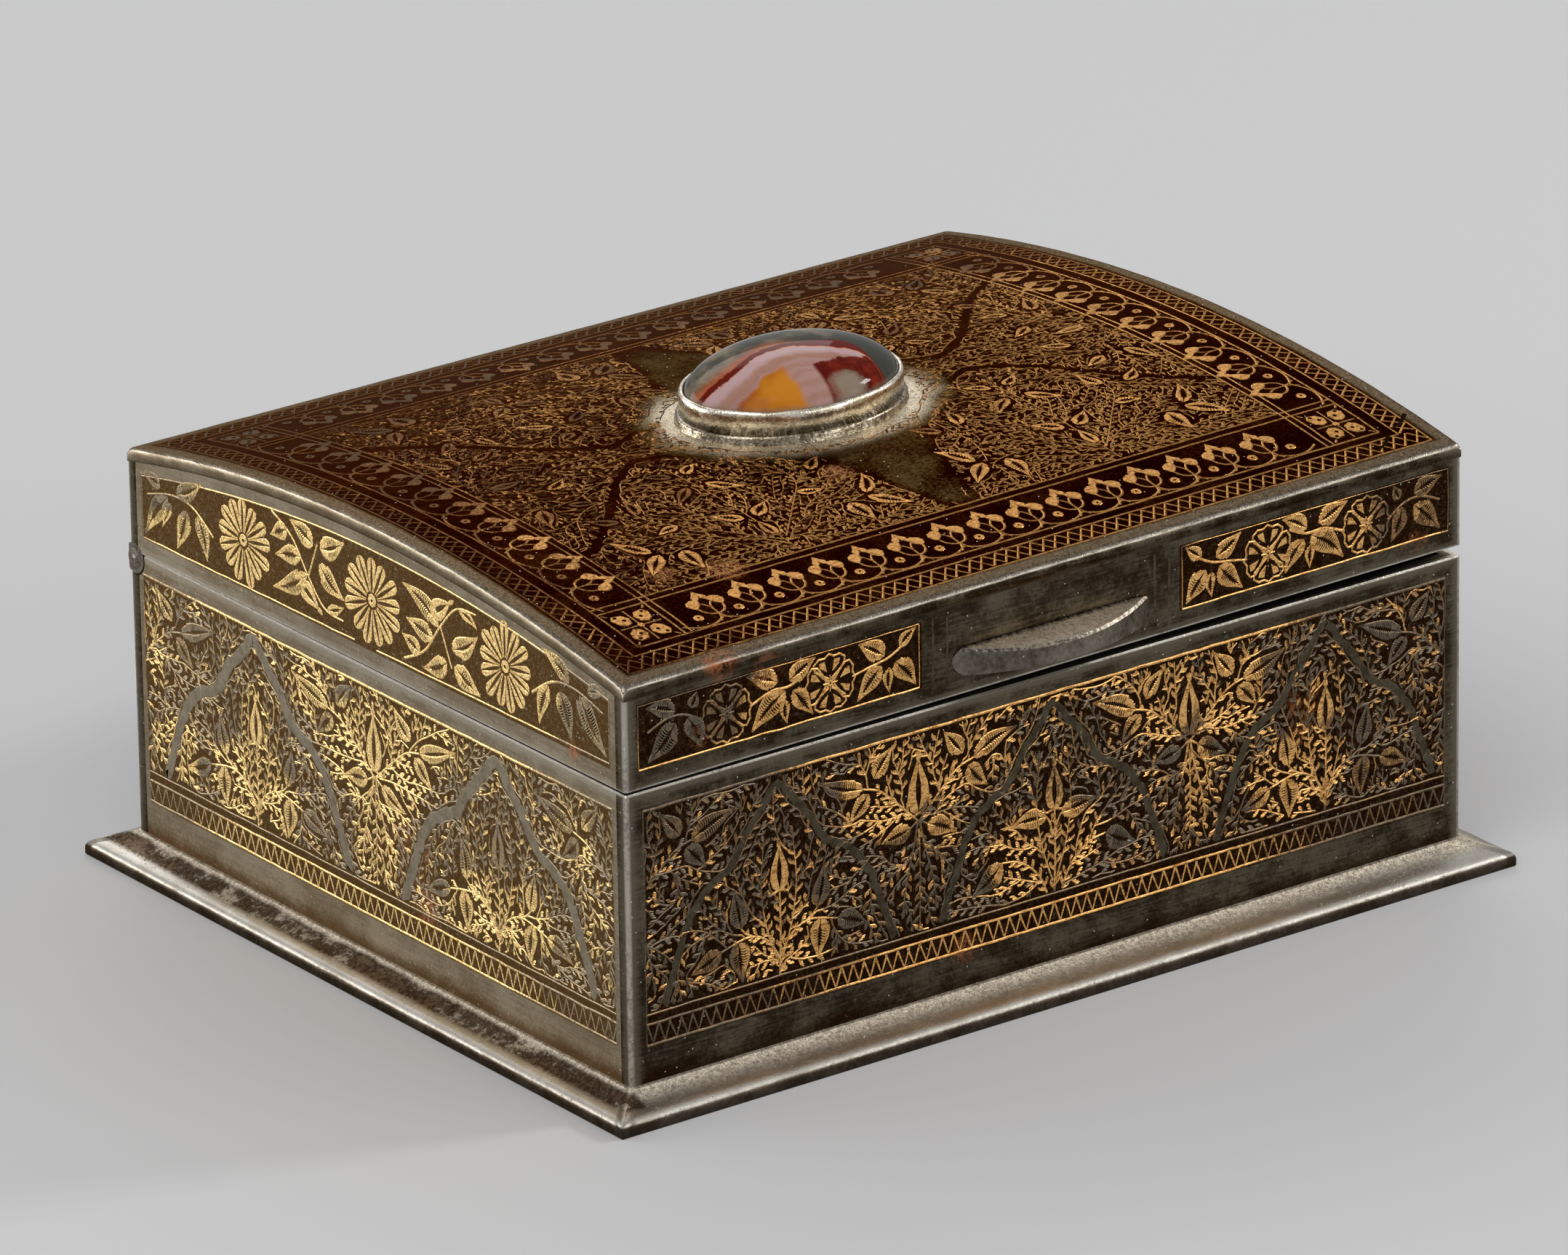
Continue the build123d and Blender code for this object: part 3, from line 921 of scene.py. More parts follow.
def corner_block(ink, low_u, low_v, high_u, high_v):
    """A square flower of four lobes with bare eyes."""
    mu, mv = (low_u + high_u) / 2, (low_v + high_v) / 2
    half_u, half_v = (high_u - low_u) / 2, (high_v - low_v) / 2
    for su in (-1, 1):
        for sv in (-1, 1):
            ink.shake(0.08)
            lobe = [(0.2, 0.2), (0.5, 0.1), (0.78, 0.26), (0.9, 0.6), (0.72, 0.82), (0.3, 0.76), (0.1, 0.5)]
            if su * sv < 0:
                lobe.reverse()
            points = [(mu + su * u * half_u, mv + sv * v * half_v) for u, v in lobe]
            ink.plate(points)
            for share in (0.4, 0.64):
                eye = ring((mu + su * share * half_u, mv + sv * (share + 0.04) * half_v), 0.3, 8)
                ink.plate(eye, proud=EYE, kind=ENGRAVED, inset=0.25)
            corner = (mu + su * half_u, mv + sv * half_v)
            ink.wire([between((mu, mv), corner, 0.84), corner], 0.3)
    for u, v in ((0, 1), (1, 0), (0, -1), (-1, 0)):
        ink.wire([(mu + u * 0.2, mv + v * 0.2), (mu + u * 0.95 * half_u, mv + v * 0.95 * half_v)], 0.3)
    ink.dot((mu, mv), 0.4)


DOME_CENTRES = (-21.8, 21.2)
LOBE_START = 42.2
DOME = [
    ("stem", 0.2, (0.4, 28.5), (3.5, 25.8), (8.0, 24.2), (12.0, 24.6), (13.6, 26.0)),
    ("leaf", 2.6, (11.0, 24.8), (11.3, 29.2)),
    ("leaf", 2.3, (13.8, 24.4), (17.2, 28.0)),
    ("leaf", 1.9, (14.2, 23.6), (16.6, 19.4)),
    ("stem", 0.18, (0.6, 27.6), (5.6, 22.0), (9.6, 17.0), (9.4, 12.6), (6.0, 10.2), (2.8, 12.0)),
    ("leaf", 1.9, (0.8, 22.0), (3.6, 19.6)),
    ("leaf", 1.6, (7.9, 19.6), (10.9, 20.4)),
    ("leaf", 1.7, (9.7, 15.0), (9.0, 11.2)),
    ("leaf", 1.8, (1.2, 12.2), (4.4, 15.2)),
    ("leaf", 1.7, (12.6, 15.6), (15.4, 13.2)),
    ("leaf", 1.6, (0.9, 9.0), (3.4, 7.2)),
]
DOME_AXIS = [
    ("bud", 1.7, (0, 26.6), (0, 23.2)),
    ("stem", 0.2, (0, 30.8), (0, 26.6)),
    ("stem", 0.18, (0, 23.2), (0.1, 15.0), (0, 7.0)),
]
LOBE_AXIS = [
    ("stem", 0.18, (0.3, 0), (8, 0.2), (15, 0)),
    ("bud", 1.8, (2.4, 0), (6.2, 0)),
]
LOBE = [
    ("stem", 0.18, (0.6, 2), (5.0, 6.5), (9.0, 6.4), (12.6, 3.6)),
    ("leaf", 2.0, (3.0, 8.2), (1.2, 12.4)),
    ("leaf", 1.6, (7.0, 4.0), (10.2, 2.0)),
    ("leaf", 1.6, (6.2, 8.6), (9.4, 10.0)),
]


def top_plants(ink):
    """Four domes of scrolls and two side lobes, with leaves."""
    for end in (-1, 1):
        for centre in DOME_CENTRES:
            draw_plant(ink, placed(centre, rise=end), DOME_AXIS)
            for side in (-1, 1):
                draw_plant(ink, placed(centre, side=side, rise=end), DOME, TOP_VEINS)
    for side in (-1, 1):
        draw_plant(ink, placed(side * LOBE_START, side=-side), LOBE_AXIS)
        for end in (-1, 1):
            draw_plant(ink, placed(side * LOBE_START, side=-side, rise=end), LOBE, TOP_VEINS)


# One of the four bare lines across the field, in two bows, and the bare wedge beyond the stone

TOP_BANDS = [
    [(42.5, 20.5), (37.5, 17.0), (32.0, 11.0), (27.5, 6.0), (22.5, 2.8), (17.5, 4.6)],
    [(17.5, 4.6), (12.6, 8.0), (8.6, 12.6), (5.4, 18.4), (3.2, 25.0), (1.5, 31.0)],
]
TOP_BAND = 0.9
WEDGE_HALF, WEDGE_START, WEDGE_TAPER = 7.0, 12.6, 0.34
ROUND_STONE = 2.4
FIELD_U, FIELD_V = 42.5, 31.2


def top_ground(frame_box):
    """Ground of the lid's field, bare along the arches' bands and round the stone."""
    ground = Ground(frame_box)
    for points in TOP_BANDS:
        for mirror_u in (-1, 1):
            for mirror_v in (-1, 1):
                line = [(mirror_u * u, mirror_v * v) for u, v in smooth(points)]
                ground.keep_clear(line, TOP_BAND / 2)
                ground.mark(ground.near, line, TOP_BAND / 2)
    wide, narrow = STONE[1].x + ROUND_STONE, STONE[1].y + ROUND_STONE
    u = ground.left + np.arange(ground.solid.shape[0])[:, None] * ground.cell
    v = ground.low + np.arange(ground.solid.shape[1])[None, :] * ground.cell
    bare = (u / wide)**2 + (v / narrow)**2 < 1
    bare |= (abs(v) > WEDGE_START) & (abs(u) < WEDGE_HALF - WEDGE_TAPER * (abs(v) - WEDGE_START))
    for grid in (ground.solid, ground.near, ground.inked):
        grid |= bare
    return ground


def top_wear(u, v):
    """Gold on the top: best in front, browner behind, thin near the stone and the corners."""
    tone = 0.8 if v < -30 else 0.7 - 0.005 * (v + 30)
    around = (u / 24)**2 + (v / 19)**2
    tone -= 0.3 * max(0.0, 1.25 - around)
    if v > 20:
        tone -= 0.012 * (v - 20)
    if min(LENGTH - abs(u), DEPTH - abs(v)) < 4.5:
        tone -= 0.12
    if u < -8:
        tone -= 0.009 * (-8 - u)
    corner = hypot(LENGTH - abs(u), DEPTH - abs(v))
    tone -= 0.3 * max(0.0, 1 - corner / 9)
    return tone


RULE = 0.34
LATTICE_PITCH = 1.66


def rule(ink, half_u, half_v):
    """A frame of four straight lines."""
    for end in (-1, 1):
        long_line(ink, (-half_u, end * half_v), (half_u, end * half_v), RULE)
        long_line(ink, (end * half_u, -half_v), (end * half_u, half_v), RULE)


def lid_top_field(seed):
    """The scrolls inside the top's borders: the plants, then the twigs of the left and right halves."""
    frame_box = (-FIELD_U, FIELD_U, -FIELD_V, FIELD_V)
    ink = Ink(crown, frame_box, top_wear, seed, top_ground(frame_box))
    roots = [(centre, end * 33, 0.9) for end in (-1, 1) for centre in DOME_CENTRES]
    roots += [(side * 45, 0, 0.9) for side in (-1, 1)]
    twigs = Twigs(ink, roots, 1.5, seed + 1, curl=1.6)
    top_plants(ink)
    twigs.fill()
    meshes = [ink.mesh("gold_inlay_top_plants")]
    stems = twigs.stems
    for half, seed_shift in (("left", 2), ("right", 3)):
        twigs.ink = Ink(crown, frame_box, top_wear, seed + seed_shift)
        twigs.stems = [stem for stem in stems if (stem[0][0] < 0) == (half == "left")]
        twigs.draw(0.21, 0.56, 0.82)
        meshes.append(twigs.ink.mesh("gold_inlay_top_" + half))
    return meshes


def lid_top_border(seed):
    """Lattice, palmettes and rules round the top."""
    x, y = LENGTH, DEPTH
    ink = Ink(crown, (-x + 1, x - 1, -y + 1, y - 1), top_wear, seed)
    out_u, out_v = x - 2.4, y - 2.1
    in_u, in_v = out_u - 2.5, out_v - 2.7
    rule(ink, out_u, out_v)
    rule(ink, in_u, in_v)
    for end in (-1, 1):
        lattice(ink, (-out_u, end * in_v), (out_u, end * in_v), (0, end * (out_v - in_v)))
        lattice(ink, (end * in_u, -in_v), (end * in_u, in_v), (end * (out_u - in_u), 0))
    pal_u, pal_v = 49.5, 39.9
    far_u, far_v = 43.4, 32.3
    rule(ink, pal_u, pal_v)
    for end in (-1, 1):
        for v in (FIELD_V, far_v):
            long_line(ink, (-pal_u, end * v), (pal_u, end * v), RULE)
        for u in (FIELD_U, far_u):
            long_line(ink, (end * u, -pal_v), (end * u, pal_v), RULE)
        palmette_row(ink, lambda along, out: (along, end * (38.5 + out)),
                     -37.7, 5.28, 15, far_u - 0.2, 0 if end < 0 else pi, 0.2 * end, 0.62)
        palmette_row(ink, lambda along, out: (end * (48.0 + out), along),
                     -26.1, 5.8, 10, far_v - 0.2, pi / 2 * end, -0.18 * end, 0.6)
        for other in (-1, 1):
            low_u, high_u = sorted((end * (far_u + 0.4), end * (pal_u - 0.3)))
            low_v, high_v = sorted((other * (far_v + 0.4), other * (pal_v - 0.3)))
            corner_block(ink, low_u, low_v, high_u, high_v)
    for scratch in ([(47, -43), (48.4, -42.3), (49.9, -41)], [(51.3, -40), (53, -39.3), (54.6, -38)]):
        ink.wire(scratch, 0.55, (0.5, 1.0), proud=SCRATCH, flat=True, kind=ENGRAVED)
    return ink.mesh("gold_inlay_top_border")


# Materials, written as sums over shader sockets

class Value:
    """A number or colour inside a material, with arithmetic."""

    def __init__(self, material, socket):
        self.material = material
        self.socket = socket

    def math(self, operation, *others):
        node = self.material.node("ShaderNodeMath", operation=operation)
        for index, value in enumerate((self,) + others):
            self.material.feed(node.inputs[index], value)
        return Value(self.material, node.outputs[0])

    def __add__(self, other):
        return self.math("ADD", other)

    def __sub__(self, other):
        return self.math("SUBTRACT", other)

    def __mul__(self, other):
        return self.math("MULTIPLY", other)

    def __abs__(self):
        return self.math("ABSOLUTE")

    def least(self, other):
        return self.math("MINIMUM", other)

    def most(self, other):
        return self.math("MAXIMUM", other)

    def ramp(self, low, high, to_low=0.0, to_high=1.0):
        """Smooth step from one level to another."""
        node = self.material.node("ShaderNodeMapRange", interpolation_type="SMOOTHSTEP")
        for name, value in (("Value", self), ("From Min", low), ("From Max", high),
                            ("To Min", to_low), ("To Max", to_high)):
            self.material.feed(node.inputs[name], value)
        return Value(self.material, node.outputs["Result"])

    def fall(self, low, high):
        """Smooth step down from 1 to 0."""
        return self.ramp(low, high, 1.0, 0.0)


class Material:
    """A procedural material, built up in millimetres."""

    def __init__(self, name):
        self.material = bpy.data.materials.new(name)
        self.material.use_nodes = True
        self.tree = self.material.node_tree
        self.shader = self.tree.nodes["Principled BSDF"]
        place = self.node("ShaderNodeTexCoord")
        scale = self.node("ShaderNodeVectorMath", operation="SCALE")
        self.tree.links.new(place.outputs["Object"], scale.inputs[0])
        scale.inputs["Scale"].default_value = 1 / MM
        self.place = scale.outputs[0]
        split = self.node("ShaderNodeSeparateXYZ")
        self.tree.links.new(self.place, split.inputs[0])
        self.x, self.y, self.z = (Value(self, socket) for socket in split.outputs)

    def node(self, kind, **settings):
        node = self.tree.nodes.new(kind)
        for name, value in settings.items():
            setattr(node, name, value)
        return node

    def feed(self, socket, value):
        if isinstance(value, Value):
            self.tree.links.new(value.socket, socket)
        elif isinstance(value, tuple) and len(value) == 3 and socket.type == "RGBA":
            socket.default_value = value + (1.0,)
        else:
            socket.default_value = value

    def noise(self, size, detail=3.0, rough=0.55, stretch=(1, 1, 1), twist=0.0, shift=0.0):
        """Soft noise whose patches are about one size across."""
        mapping = self.node("ShaderNodeMapping")
        self.tree.links.new(self.place, mapping.inputs["Vector"])
        mapping.inputs["Scale"].default_value = stretch
        mapping.inputs["Location"].default_value = (shift, shift, shift)
        noise = self.node("ShaderNodeTexNoise")
        self.tree.links.new(mapping.outputs[0], noise.inputs["Vector"])
        noise.inputs["Scale"].default_value = 1 / size
        noise.inputs["Detail"].default_value = detail
        noise.inputs["Roughness"].default_value = rough
        noise.inputs["Distortion"].default_value = twist
        return Value(self, noise.outputs["Fac"])

    def cells(self, size):
        """Distance from the nearest of many scattered points, about one size apart."""
        cells = self.node("ShaderNodeTexVoronoi")
        self.tree.links.new(self.place, cells.inputs["Vector"])
        cells.inputs["Scale"].default_value = 1 / size
        return Value(self, cells.outputs["Distance"])

    def attribute(self, name):
        node = self.node("ShaderNodeAttribute", attribute_name=name)
        return Value(self, node.outputs["Fac"])

    def mix(self, first, second, share):
        node = self.node("ShaderNodeMix", data_type="RGBA")
        self.feed(node.inputs["Factor"], share)
        self.feed(node.inputs[6], first)
        self.feed(node.inputs[7], second)
        return Value(self, node.outputs[2])

    def set(self, **values):
        for name, value in values.items():
            self.feed(self.shader.inputs[name.replace("_", " ")], value)

    def metal(self, colour, roughness, height, depth, **more):
        """Finishes a metal, with a relief of a depth in millimetres."""
        values = {"Metallic": 1.0, "Specular_Tint": EDGE_TINT, **more}
        self.set(Base_Color=colour, Roughness=roughness, **values)
        self.bump(height, depth)
        return self.material

    def bump(self, height, depth):
        """Relief of a depth in millimetres."""
        node = self.node("ShaderNodeBump")
        self.feed(node.inputs["Height"], height)
        node.inputs["Distance"].default_value = depth * MM
        self.tree.links.new(node.outputs[0], self.shader.inputs["Normal"])

    def normal(self):
        """The surface's direction in the world: its part along x and its upward part."""
        geometry = self.node("ShaderNodeNewGeometry")
        split = self.node("ShaderNodeSeparateXYZ")
        self.tree.links.new(geometry.outputs["Normal"], split.inputs[0])
        return Value(self, split.outputs["X"]), Value(self, split.outputs["Z"])

    def curve(self, value, points, low, high):
        """A smooth function of a value, through some points between two corners of a graph."""
        node = self.node("ShaderNodeFloatCurve")
        line = node.mapping.curves[0]
        wide, tall = high[0] - low[0], high[1] - low[1]
        scaled = [((x - low[0]) / wide, (y - low[1]) / tall) for x, y in points]
        for index, spot in enumerate(scaled):
            if index < 2:
                line.points[index].location = spot
            else:
                line.points.new(*spot)
        node.mapping.update()
        self.feed(node.inputs["Value"], (value - low[0]) * (1 / wide))
        return Value(self, node.outputs[0]) * tall + low[1]


def oval(m, x, y, wide, narrow):
    """Squared distance from an oval's centre, in shares of its half axes."""
    across, along = (m.x - x) * (1 / wide), (m.y - y) * (1 / narrow)
    return across * across + along * along


def near(m, spots):
    """Round spots on the surface, each given by its centre and radius."""
    found = None
    for x, y, z, radius in spots:
        high = (m.z - z) * (1 / radius)
        spot = (oval(m, x, y, radius, radius) + high * high).fall(0.0, 1.0)
        found = spot if found is None else found.most(spot)
    return found


def pale_specks(m):
    """Tiny pale specks."""
    size, radius = 1.3, 0.1
    return m.cells(size).fall(radius / size * 0.6, radius / size)


def scratches(m, shift):
    """Fine lines: a narrow level of a long stretched noise."""
    return abs(m.noise(6.0, 2.0, 0.5, (0.35, 0.35, 2.4), 0.4, shift) - 0.5).fall(0.0, 0.012)


RUST = (0.27, 0.075, 0.017)
PAINTED_HIGHLIGHT = (0.56, 0.52, 0.45)
SPECKS = (0.7, 0.64, 0.56)
BLACK = (0.0, 0.0, 0.0)
EDGE_TINT = (0.55, 0.5, 0.45)
TOP_TINT = (0.55, 0.44, 0.34)
GOLD_TINT = (0.8, 0.7, 0.6)

# Colours of one wall: its plain margins, stains on them, the ornamented ground, flecks in it and the rim

Finish = namedtuple("Finish", "plain stain deep fleck rim")
DARK_FINISH = Finish((0.105, 0.087, 0.060), (0.024, 0.016, 0.009), (0.0135, 0.0045, 0.0011),
                     (0.075, 0.045, 0.024), (0.13, 0.110, 0.080))
# The lighter finish is the same steel painted as lit, for faces turned towards the light on the left.
LIT_SIDE_FINISH = Finish((0.34, 0.29, 0.21), (0.22, 0.175, 0.115), (0.105, 0.055, 0.018),
                      (0.235, 0.175, 0.110), (0.40, 0.35, 0.27))

# Spots on the surface: middle and radius

RUST_SPOTS = [
    (-12.0, -DEPTH, 7.6, 2.2), (-LENGTH, -6.0, 16.0, 6.0), (-LENGTH, -9.0, 12.0, 3.0),
    (-43.4, -DEPTH, 48.4, 2.8), (-37.4, -DEPTH, 45.6, 2.6), (-46.5, -DEPTH, 40.5, 1.6),
]
SALMON_SPOTS = [(-7.2, -17.7, 52.0, 2.4), (-31.5, -30.4, 50.6, 3.0), (-38.0, -28.0, 50.8, 2.2)]


def inner_steel(m, cloud, fine):
    """The plain brown steel of the inside, with stains."""
    return m.mix((0.10, 0.078, 0.056), (0.23, 0.20, 0.16), (cloud * 0.7 + fine * 0.3).ramp(0.40, 0.62))


def steel_wall(name, finish, field, soft, bright, seed):
    """Blackened steel: dark in its ornamented field, brushed and pale where hands have rubbed it, with a
    painted highlight along its edges and painted shade at its foot.
    """
    m = Material(name)
    cloud = m.noise(7.0, 5.0, 0.62, shift=seed)
    fine = m.noise(0.45, 4.0, 0.7, shift=seed + 3)
    grain = m.noise(0.16, 2.0, 0.6, shift=seed + 5)
    brushed = m.noise(0.5, 3.0, 0.6, (0.12, 0.12, 1.6), shift=seed + 7)
    mottle = (cloud + (fine - 0.5) * 0.45 + (brushed - 0.5) * 0.5).ramp(0.32, 0.72)
    colour = m.mix(finish.stain, finish.plain, mottle)
    # Painted shade: darker towards the foot of the wall, just over the moulding.
    foot = m.z - PLINTH[1].z + (cloud - 0.5) * 2.0 + (fine - 0.5) * 1.2
    colour = m.mix(colour, finish.deep, foot.ramp(0.2, 2.2, 0.75, 0.0))
    ground = m.mix(finish.deep, finish.fleck, (fine * 0.5 + grain * 0.5).ramp(0.47, 0.66) * 0.8)
    colour = m.mix(colour, ground, (field(m) + (fine - 0.5) * 0.35).ramp(0.3, 0.7))
    rub = (soft(m) + (brushed - 0.5) * 0.4 + (cloud - 0.5) * 0.35).ramp(0.1, 0.85)
    colour = m.mix(colour, finish.rim, rub)
    # Painted highlight: a pale line along the arrises and the top edge.
    line = bright(m) * (fine + cloud).ramp(0.75, 1.05, 0.35, 1.0)
    colour = m.mix(colour, PAINTED_HIGHLIGHT, line)
    spots = m.noise(13.0, 3.0, 0.6, shift=seed + 11).ramp(0.69, 0.78)
    spots = spots.most(near(m, RUST_SPOTS) * cloud.ramp(0.35, 0.6)) * fine.ramp(0.40, 0.54)
    colour = m.mix(colour, RUST, spots * 0.75)
    lines = scratches(m, seed) * fine.ramp(0.5, 0.7)
    colour = m.mix(colour, finish.rim, lines * 0.5)
    colour = m.mix(colour, SPECKS, pale_specks(m) * 0.8)
    inside = from_wall(m).ramp(0.5, 0.9)
    colour = m.mix(colour, inner_steel(m, cloud, fine), inside)
    rough = fine * 0.14 + (rub * -0.06 + 0.30) + spots * 0.3 + inside * 0.1
    relief = grain * 0.35 + fine * 0.8 + brushed * 0.3 + lines * -0.6
    return m.metal(colour, rough, relief, 0.03, Metallic=spots.ramp(0, 1, 1.0, 0.25))


def from_wall(m):
    """Distance in from the nearest wall's outer face."""
    return (abs(m.x) * -1 + LENGTH).least(abs(m.y) * -1 + DEPTH)


def from_arris(m):
    """Distance from the nearest upright arris, measured along a wall."""
    return (abs(m.x) * -1 + LENGTH) + (abs(m.y) * -1 + DEPTH)


# Where the margins are rubbed softly, and where a painted highlight runs along their edges

def body_soft(m):
    return from_arris(m).ramp(0.2, 2.4, 0.8, 0.0).most(m.z.ramp(FIELD_HIGH + 0.5, BODY_TOP, 0.0, 0.9))


def body_painted_highlight(m):
    return from_arris(m).ramp(0.15, 0.65, 0.9, 0.0).most(m.z.ramp(BODY_TOP - 0.3, BODY_TOP - 0.08))


def lid_soft(m):
    return from_arris(m).ramp(0.2, 2.2, 0.8, 0.0).most(over_lid_edge(m).ramp(0.1, 1.4, 0.6, 0.0))


def lid_painted_highlight(m):
    return from_arris(m).ramp(0.15, 0.65, 0.9, 0.0).most(over_lid_edge(m).ramp(0.08, 0.25, 0.7, 0.0))


def over_lid_edge(m):
    """Height over the lid's lower edge."""
    front = (m.x * (1 / LENGTH) + 1.0) * ((GAP_FRONT_RIGHT - GAP_FRONT_LEFT) / 2) + GAP_FRONT_LEFT
    behind = (m.y * (1 / DEPTH) + 1.0) * 0.5
    gap = front * (behind * -1 + 1.0) + behind * GAP_BACK
    return m.z - gap - BODY_TOP


def body_field(m):
    """Where the ornamented ground of the body's walls lies."""
    low = m.z.ramp(BORDER_LOW - 0.6, BORDER_LOW + 0.1)
    return low * m.z.fall(FIELD_HIGH - 0.1, FIELD_HIGH + 0.4) * from_arris(m).ramp(1.9, 2.8)


def lid_long_field(m):
    """The two framed panels of the lid's long walls."""
    high = over_lid_edge(m)
    across = abs(m.x).ramp(16.9, 17.6) * abs(m.x).fall(54.0, 54.7)
    low = high.ramp(STRIP_LOW - 0.4, STRIP_LOW + 0.1)
    return low * high.fall(STRIP_HIGH - 0.05, STRIP_HIGH + 0.45) * across


def lid_end_field(m):
    """The curved panel of the lid's end walls."""
    high = over_lid_edge(m)
    under = (m.y * m.y) * (-1 / (2 * VAULT_RADIUS)) + (SIDE_HEIGHT + RISE - 2.9) - high
    return high.ramp(STRIP_LOW - 0.4, STRIP_LOW + 0.1) * under.ramp(-0.3, 0.2) * from_arris(m).ramp(2.2, 2.9)


def bare_metal(name, pale, dark, rough, seed):
    """Steel polished by handling, with fine grain and dark stains."""
    m = Material(name)
    cloud = m.noise(6.0, 5.0, 0.62, shift=seed)
    fine = m.noise(0.5, 4.0, 0.7, shift=seed + 2)
    grain = m.noise(0.14, 2.0, 0.6, shift=seed + 4)
    stain = (cloud + (fine - 0.5) * 0.6).ramp(0.52, 0.72) * 0.5
    colour = m.mix(pale, tuple(c * 0.62 for c in pale), fine.ramp(0.35, 0.65))
    colour = m.mix(colour, dark, stain)
    pits = m.noise(0.3, 2.0, 0.5, shift=seed + 9).ramp(0.64, 0.72)
    colour = m.mix(colour, dark, pits * 0.7)
    return m.metal(colour, fine * 0.14 + (stain * 0.12 + rough), grain * 0.5 + fine - pits, 0.022)


def plinth_steel(name):
    """The moulding: grainy by the wall, satin on its nose, dark in the left end's trough, with painted shade
    on its foot.
    """
    m = Material(name)
    cloud = m.noise(5.0, 5.0, 0.62)
    fine = m.noise(0.5, 4.0, 0.7)
    grain = m.noise(0.14, 2.0, 0.6)
    out = (abs(m.x) - LENGTH).most(abs(m.y) - DEPTH)
    near_wall = (out + (cloud - 0.5) * 1.5).fall(0.8, 3.2)
    rough = m.mix((0.30, 0.245, 0.175), (0.92, 0.83, 0.68), (fine * 0.5 + grain * 0.5).ramp(0.38, 0.62))
    satin = m.mix((0.50, 0.465, 0.40), (0.62, 0.59, 0.53), (cloud + (fine - 0.5) * 0.5).ramp(0.35, 0.65))
    colour = m.mix(satin, rough, near_wall * 0.85)
    left = m.x.fall(-LENGTH - 0.5, -LENGTH + 0.5)
    trough = (out + (cloud - 0.5) * 1.2).ramp(0.3, 0.9) * (out + (fine - 0.5) * 0.5).fall(2.5, 3.3)
    dirt = m.mix((0.030, 0.016, 0.008), (0.17, 0.125, 0.085), (cloud * 0.5 + fine * 0.6).ramp(0.48, 0.66))
    colour = m.mix(colour, dirt, trough * left * (cloud + (fine - 0.5) * 0.6).ramp(0.30, 0.48))
    # Painted shade on the foot, under the nose.
    foot = m.mix((0.034, 0.025, 0.017), (0.075, 0.060, 0.045), (cloud * 0.6 + fine * 0.4).ramp(0.4, 0.62))
    colour = m.mix(colour, foot, (m.z + (fine - 0.5) * 0.15).fall(1.15, 1.5))
    pits = m.noise(0.3, 2.0, 0.5, shift=9).ramp(0.64, 0.72)
    colour = m.mix(colour, (0.04, 0.028, 0.018), pits * 0.5)
    return m.metal(colour, fine * 0.14 + near_wall * 0.24 + 0.26, grain * 0.6 + fine - pits, 0.022)


def thumb_steel(name):
    """The thumb-piece: pale and grainy on its slope, dark on its rim, its left end painted as lit, darker
    where it meets the wall.
    """
    m = Material(name)
    across, up = m.normal()
    fine = m.noise(0.45, 4.0, 0.7)
    grain = m.noise(0.15, 2.0, 0.6)
    cloud = m.noise(3.0, 4.0, 0.6)
    slope = m.mix((0.48, 0.39, 0.28), (0.95, 0.83, 0.66), (fine * 0.6 + grain * 0.5).ramp(0.38, 0.62))
    # Darker where the slope meets the wall.
    toward = (m.y * -1 - DEPTH + (fine - 0.5) * 1.0).ramp(0.0, 0.9)
    slope = m.mix(m.mix((0.012, 0.008, 0.005), (0.10, 0.075, 0.05), fine.ramp(0.45, 0.65)), slope, toward)
    rim = m.mix((0.060, 0.048, 0.036), (0.205, 0.182, 0.148), (cloud * 0.6 + fine * 0.4).ramp(0.32, 0.68))
    # Painted light: the left end of the rim is paler, as lit from the left.
    rim = m.mix(rim, (0.50, 0.46, 0.39), across.fall(-0.9, -0.4))
    colour = m.mix(rim, slope, up.ramp(0.82, 0.95))
    ridge = up.ramp(0.3, 0.5) * up.fall(0.82, 0.95)
    colour = m.mix(colour, m.mix((0.07, 0.058, 0.044), (0.24, 0.215, 0.175), fine.ramp(0.42, 0.6)), ridge)
    colour = m.mix(colour, SPECKS, pale_specks(m) * 0.7)
    return m.metal(colour, fine * 0.15 + (up.ramp(0.5, 0.9) * 0.08 + 0.26), grain * 0.3 + fine, 0.028)


def inlay_gold(name, gold, ghost, warm, rough, relief):
    """Gold that has worn to a coppery, then a grey-brown ghost where its attribute is low."""
    m = Material(name)
    fine = m.noise(0.35, 4.0, 0.75)
    cloud = m.noise(4.0, 3.0, 0.5)
    cut = m.noise(0.5, 1.0, 0.5, (0.4, 3.0, 3.0), 0.3)
    left = m.attribute("gold") + (fine - 0.5) * 0.8 + (cloud - 0.5) * 0.45
    kept = left.ramp(0.30, 0.52)
    ghosts = m.mix(ghost, warm, left.ramp(0.08, 0.3))
    ghosts = m.mix(m.mix(ghosts, BLACK, 0.62), ghosts, fine.ramp(0.32, 0.58))
    deep = tuple(c * s for c, s in zip(gold, (0.45, 0.33, 0.22)))
    bright = m.mix(deep, gold, (fine * 0.6 + cut * 0.4).ramp(0.38, 0.56))
    pits = m.noise(0.17, 2.0, 0.6, shift=3).ramp(0.56, 0.66)
    bright = m.mix(bright, tuple(c * 0.25 for c in deep), pits * 0.7)
    colour = m.mix(ghosts, bright, kept)
    return m.metal(colour, fine * 0.2 + rough, fine + cut * 0.6, relief, Specular_Tint=GOLD_TINT)


def bare_band(name, colour, dark):
    """Smooth steel left without ornament."""
    m = Material(name)
    cloud = m.noise(1.6, 4.0, 0.6)
    fine = m.noise(0.3, 3.0, 0.6)
    colour = m.mix(dark, colour, (cloud + fine * 0.6).ramp(0.55, 1.0))
    return m.metal(colour, fine * 0.2 + 0.32, fine, 0.02)


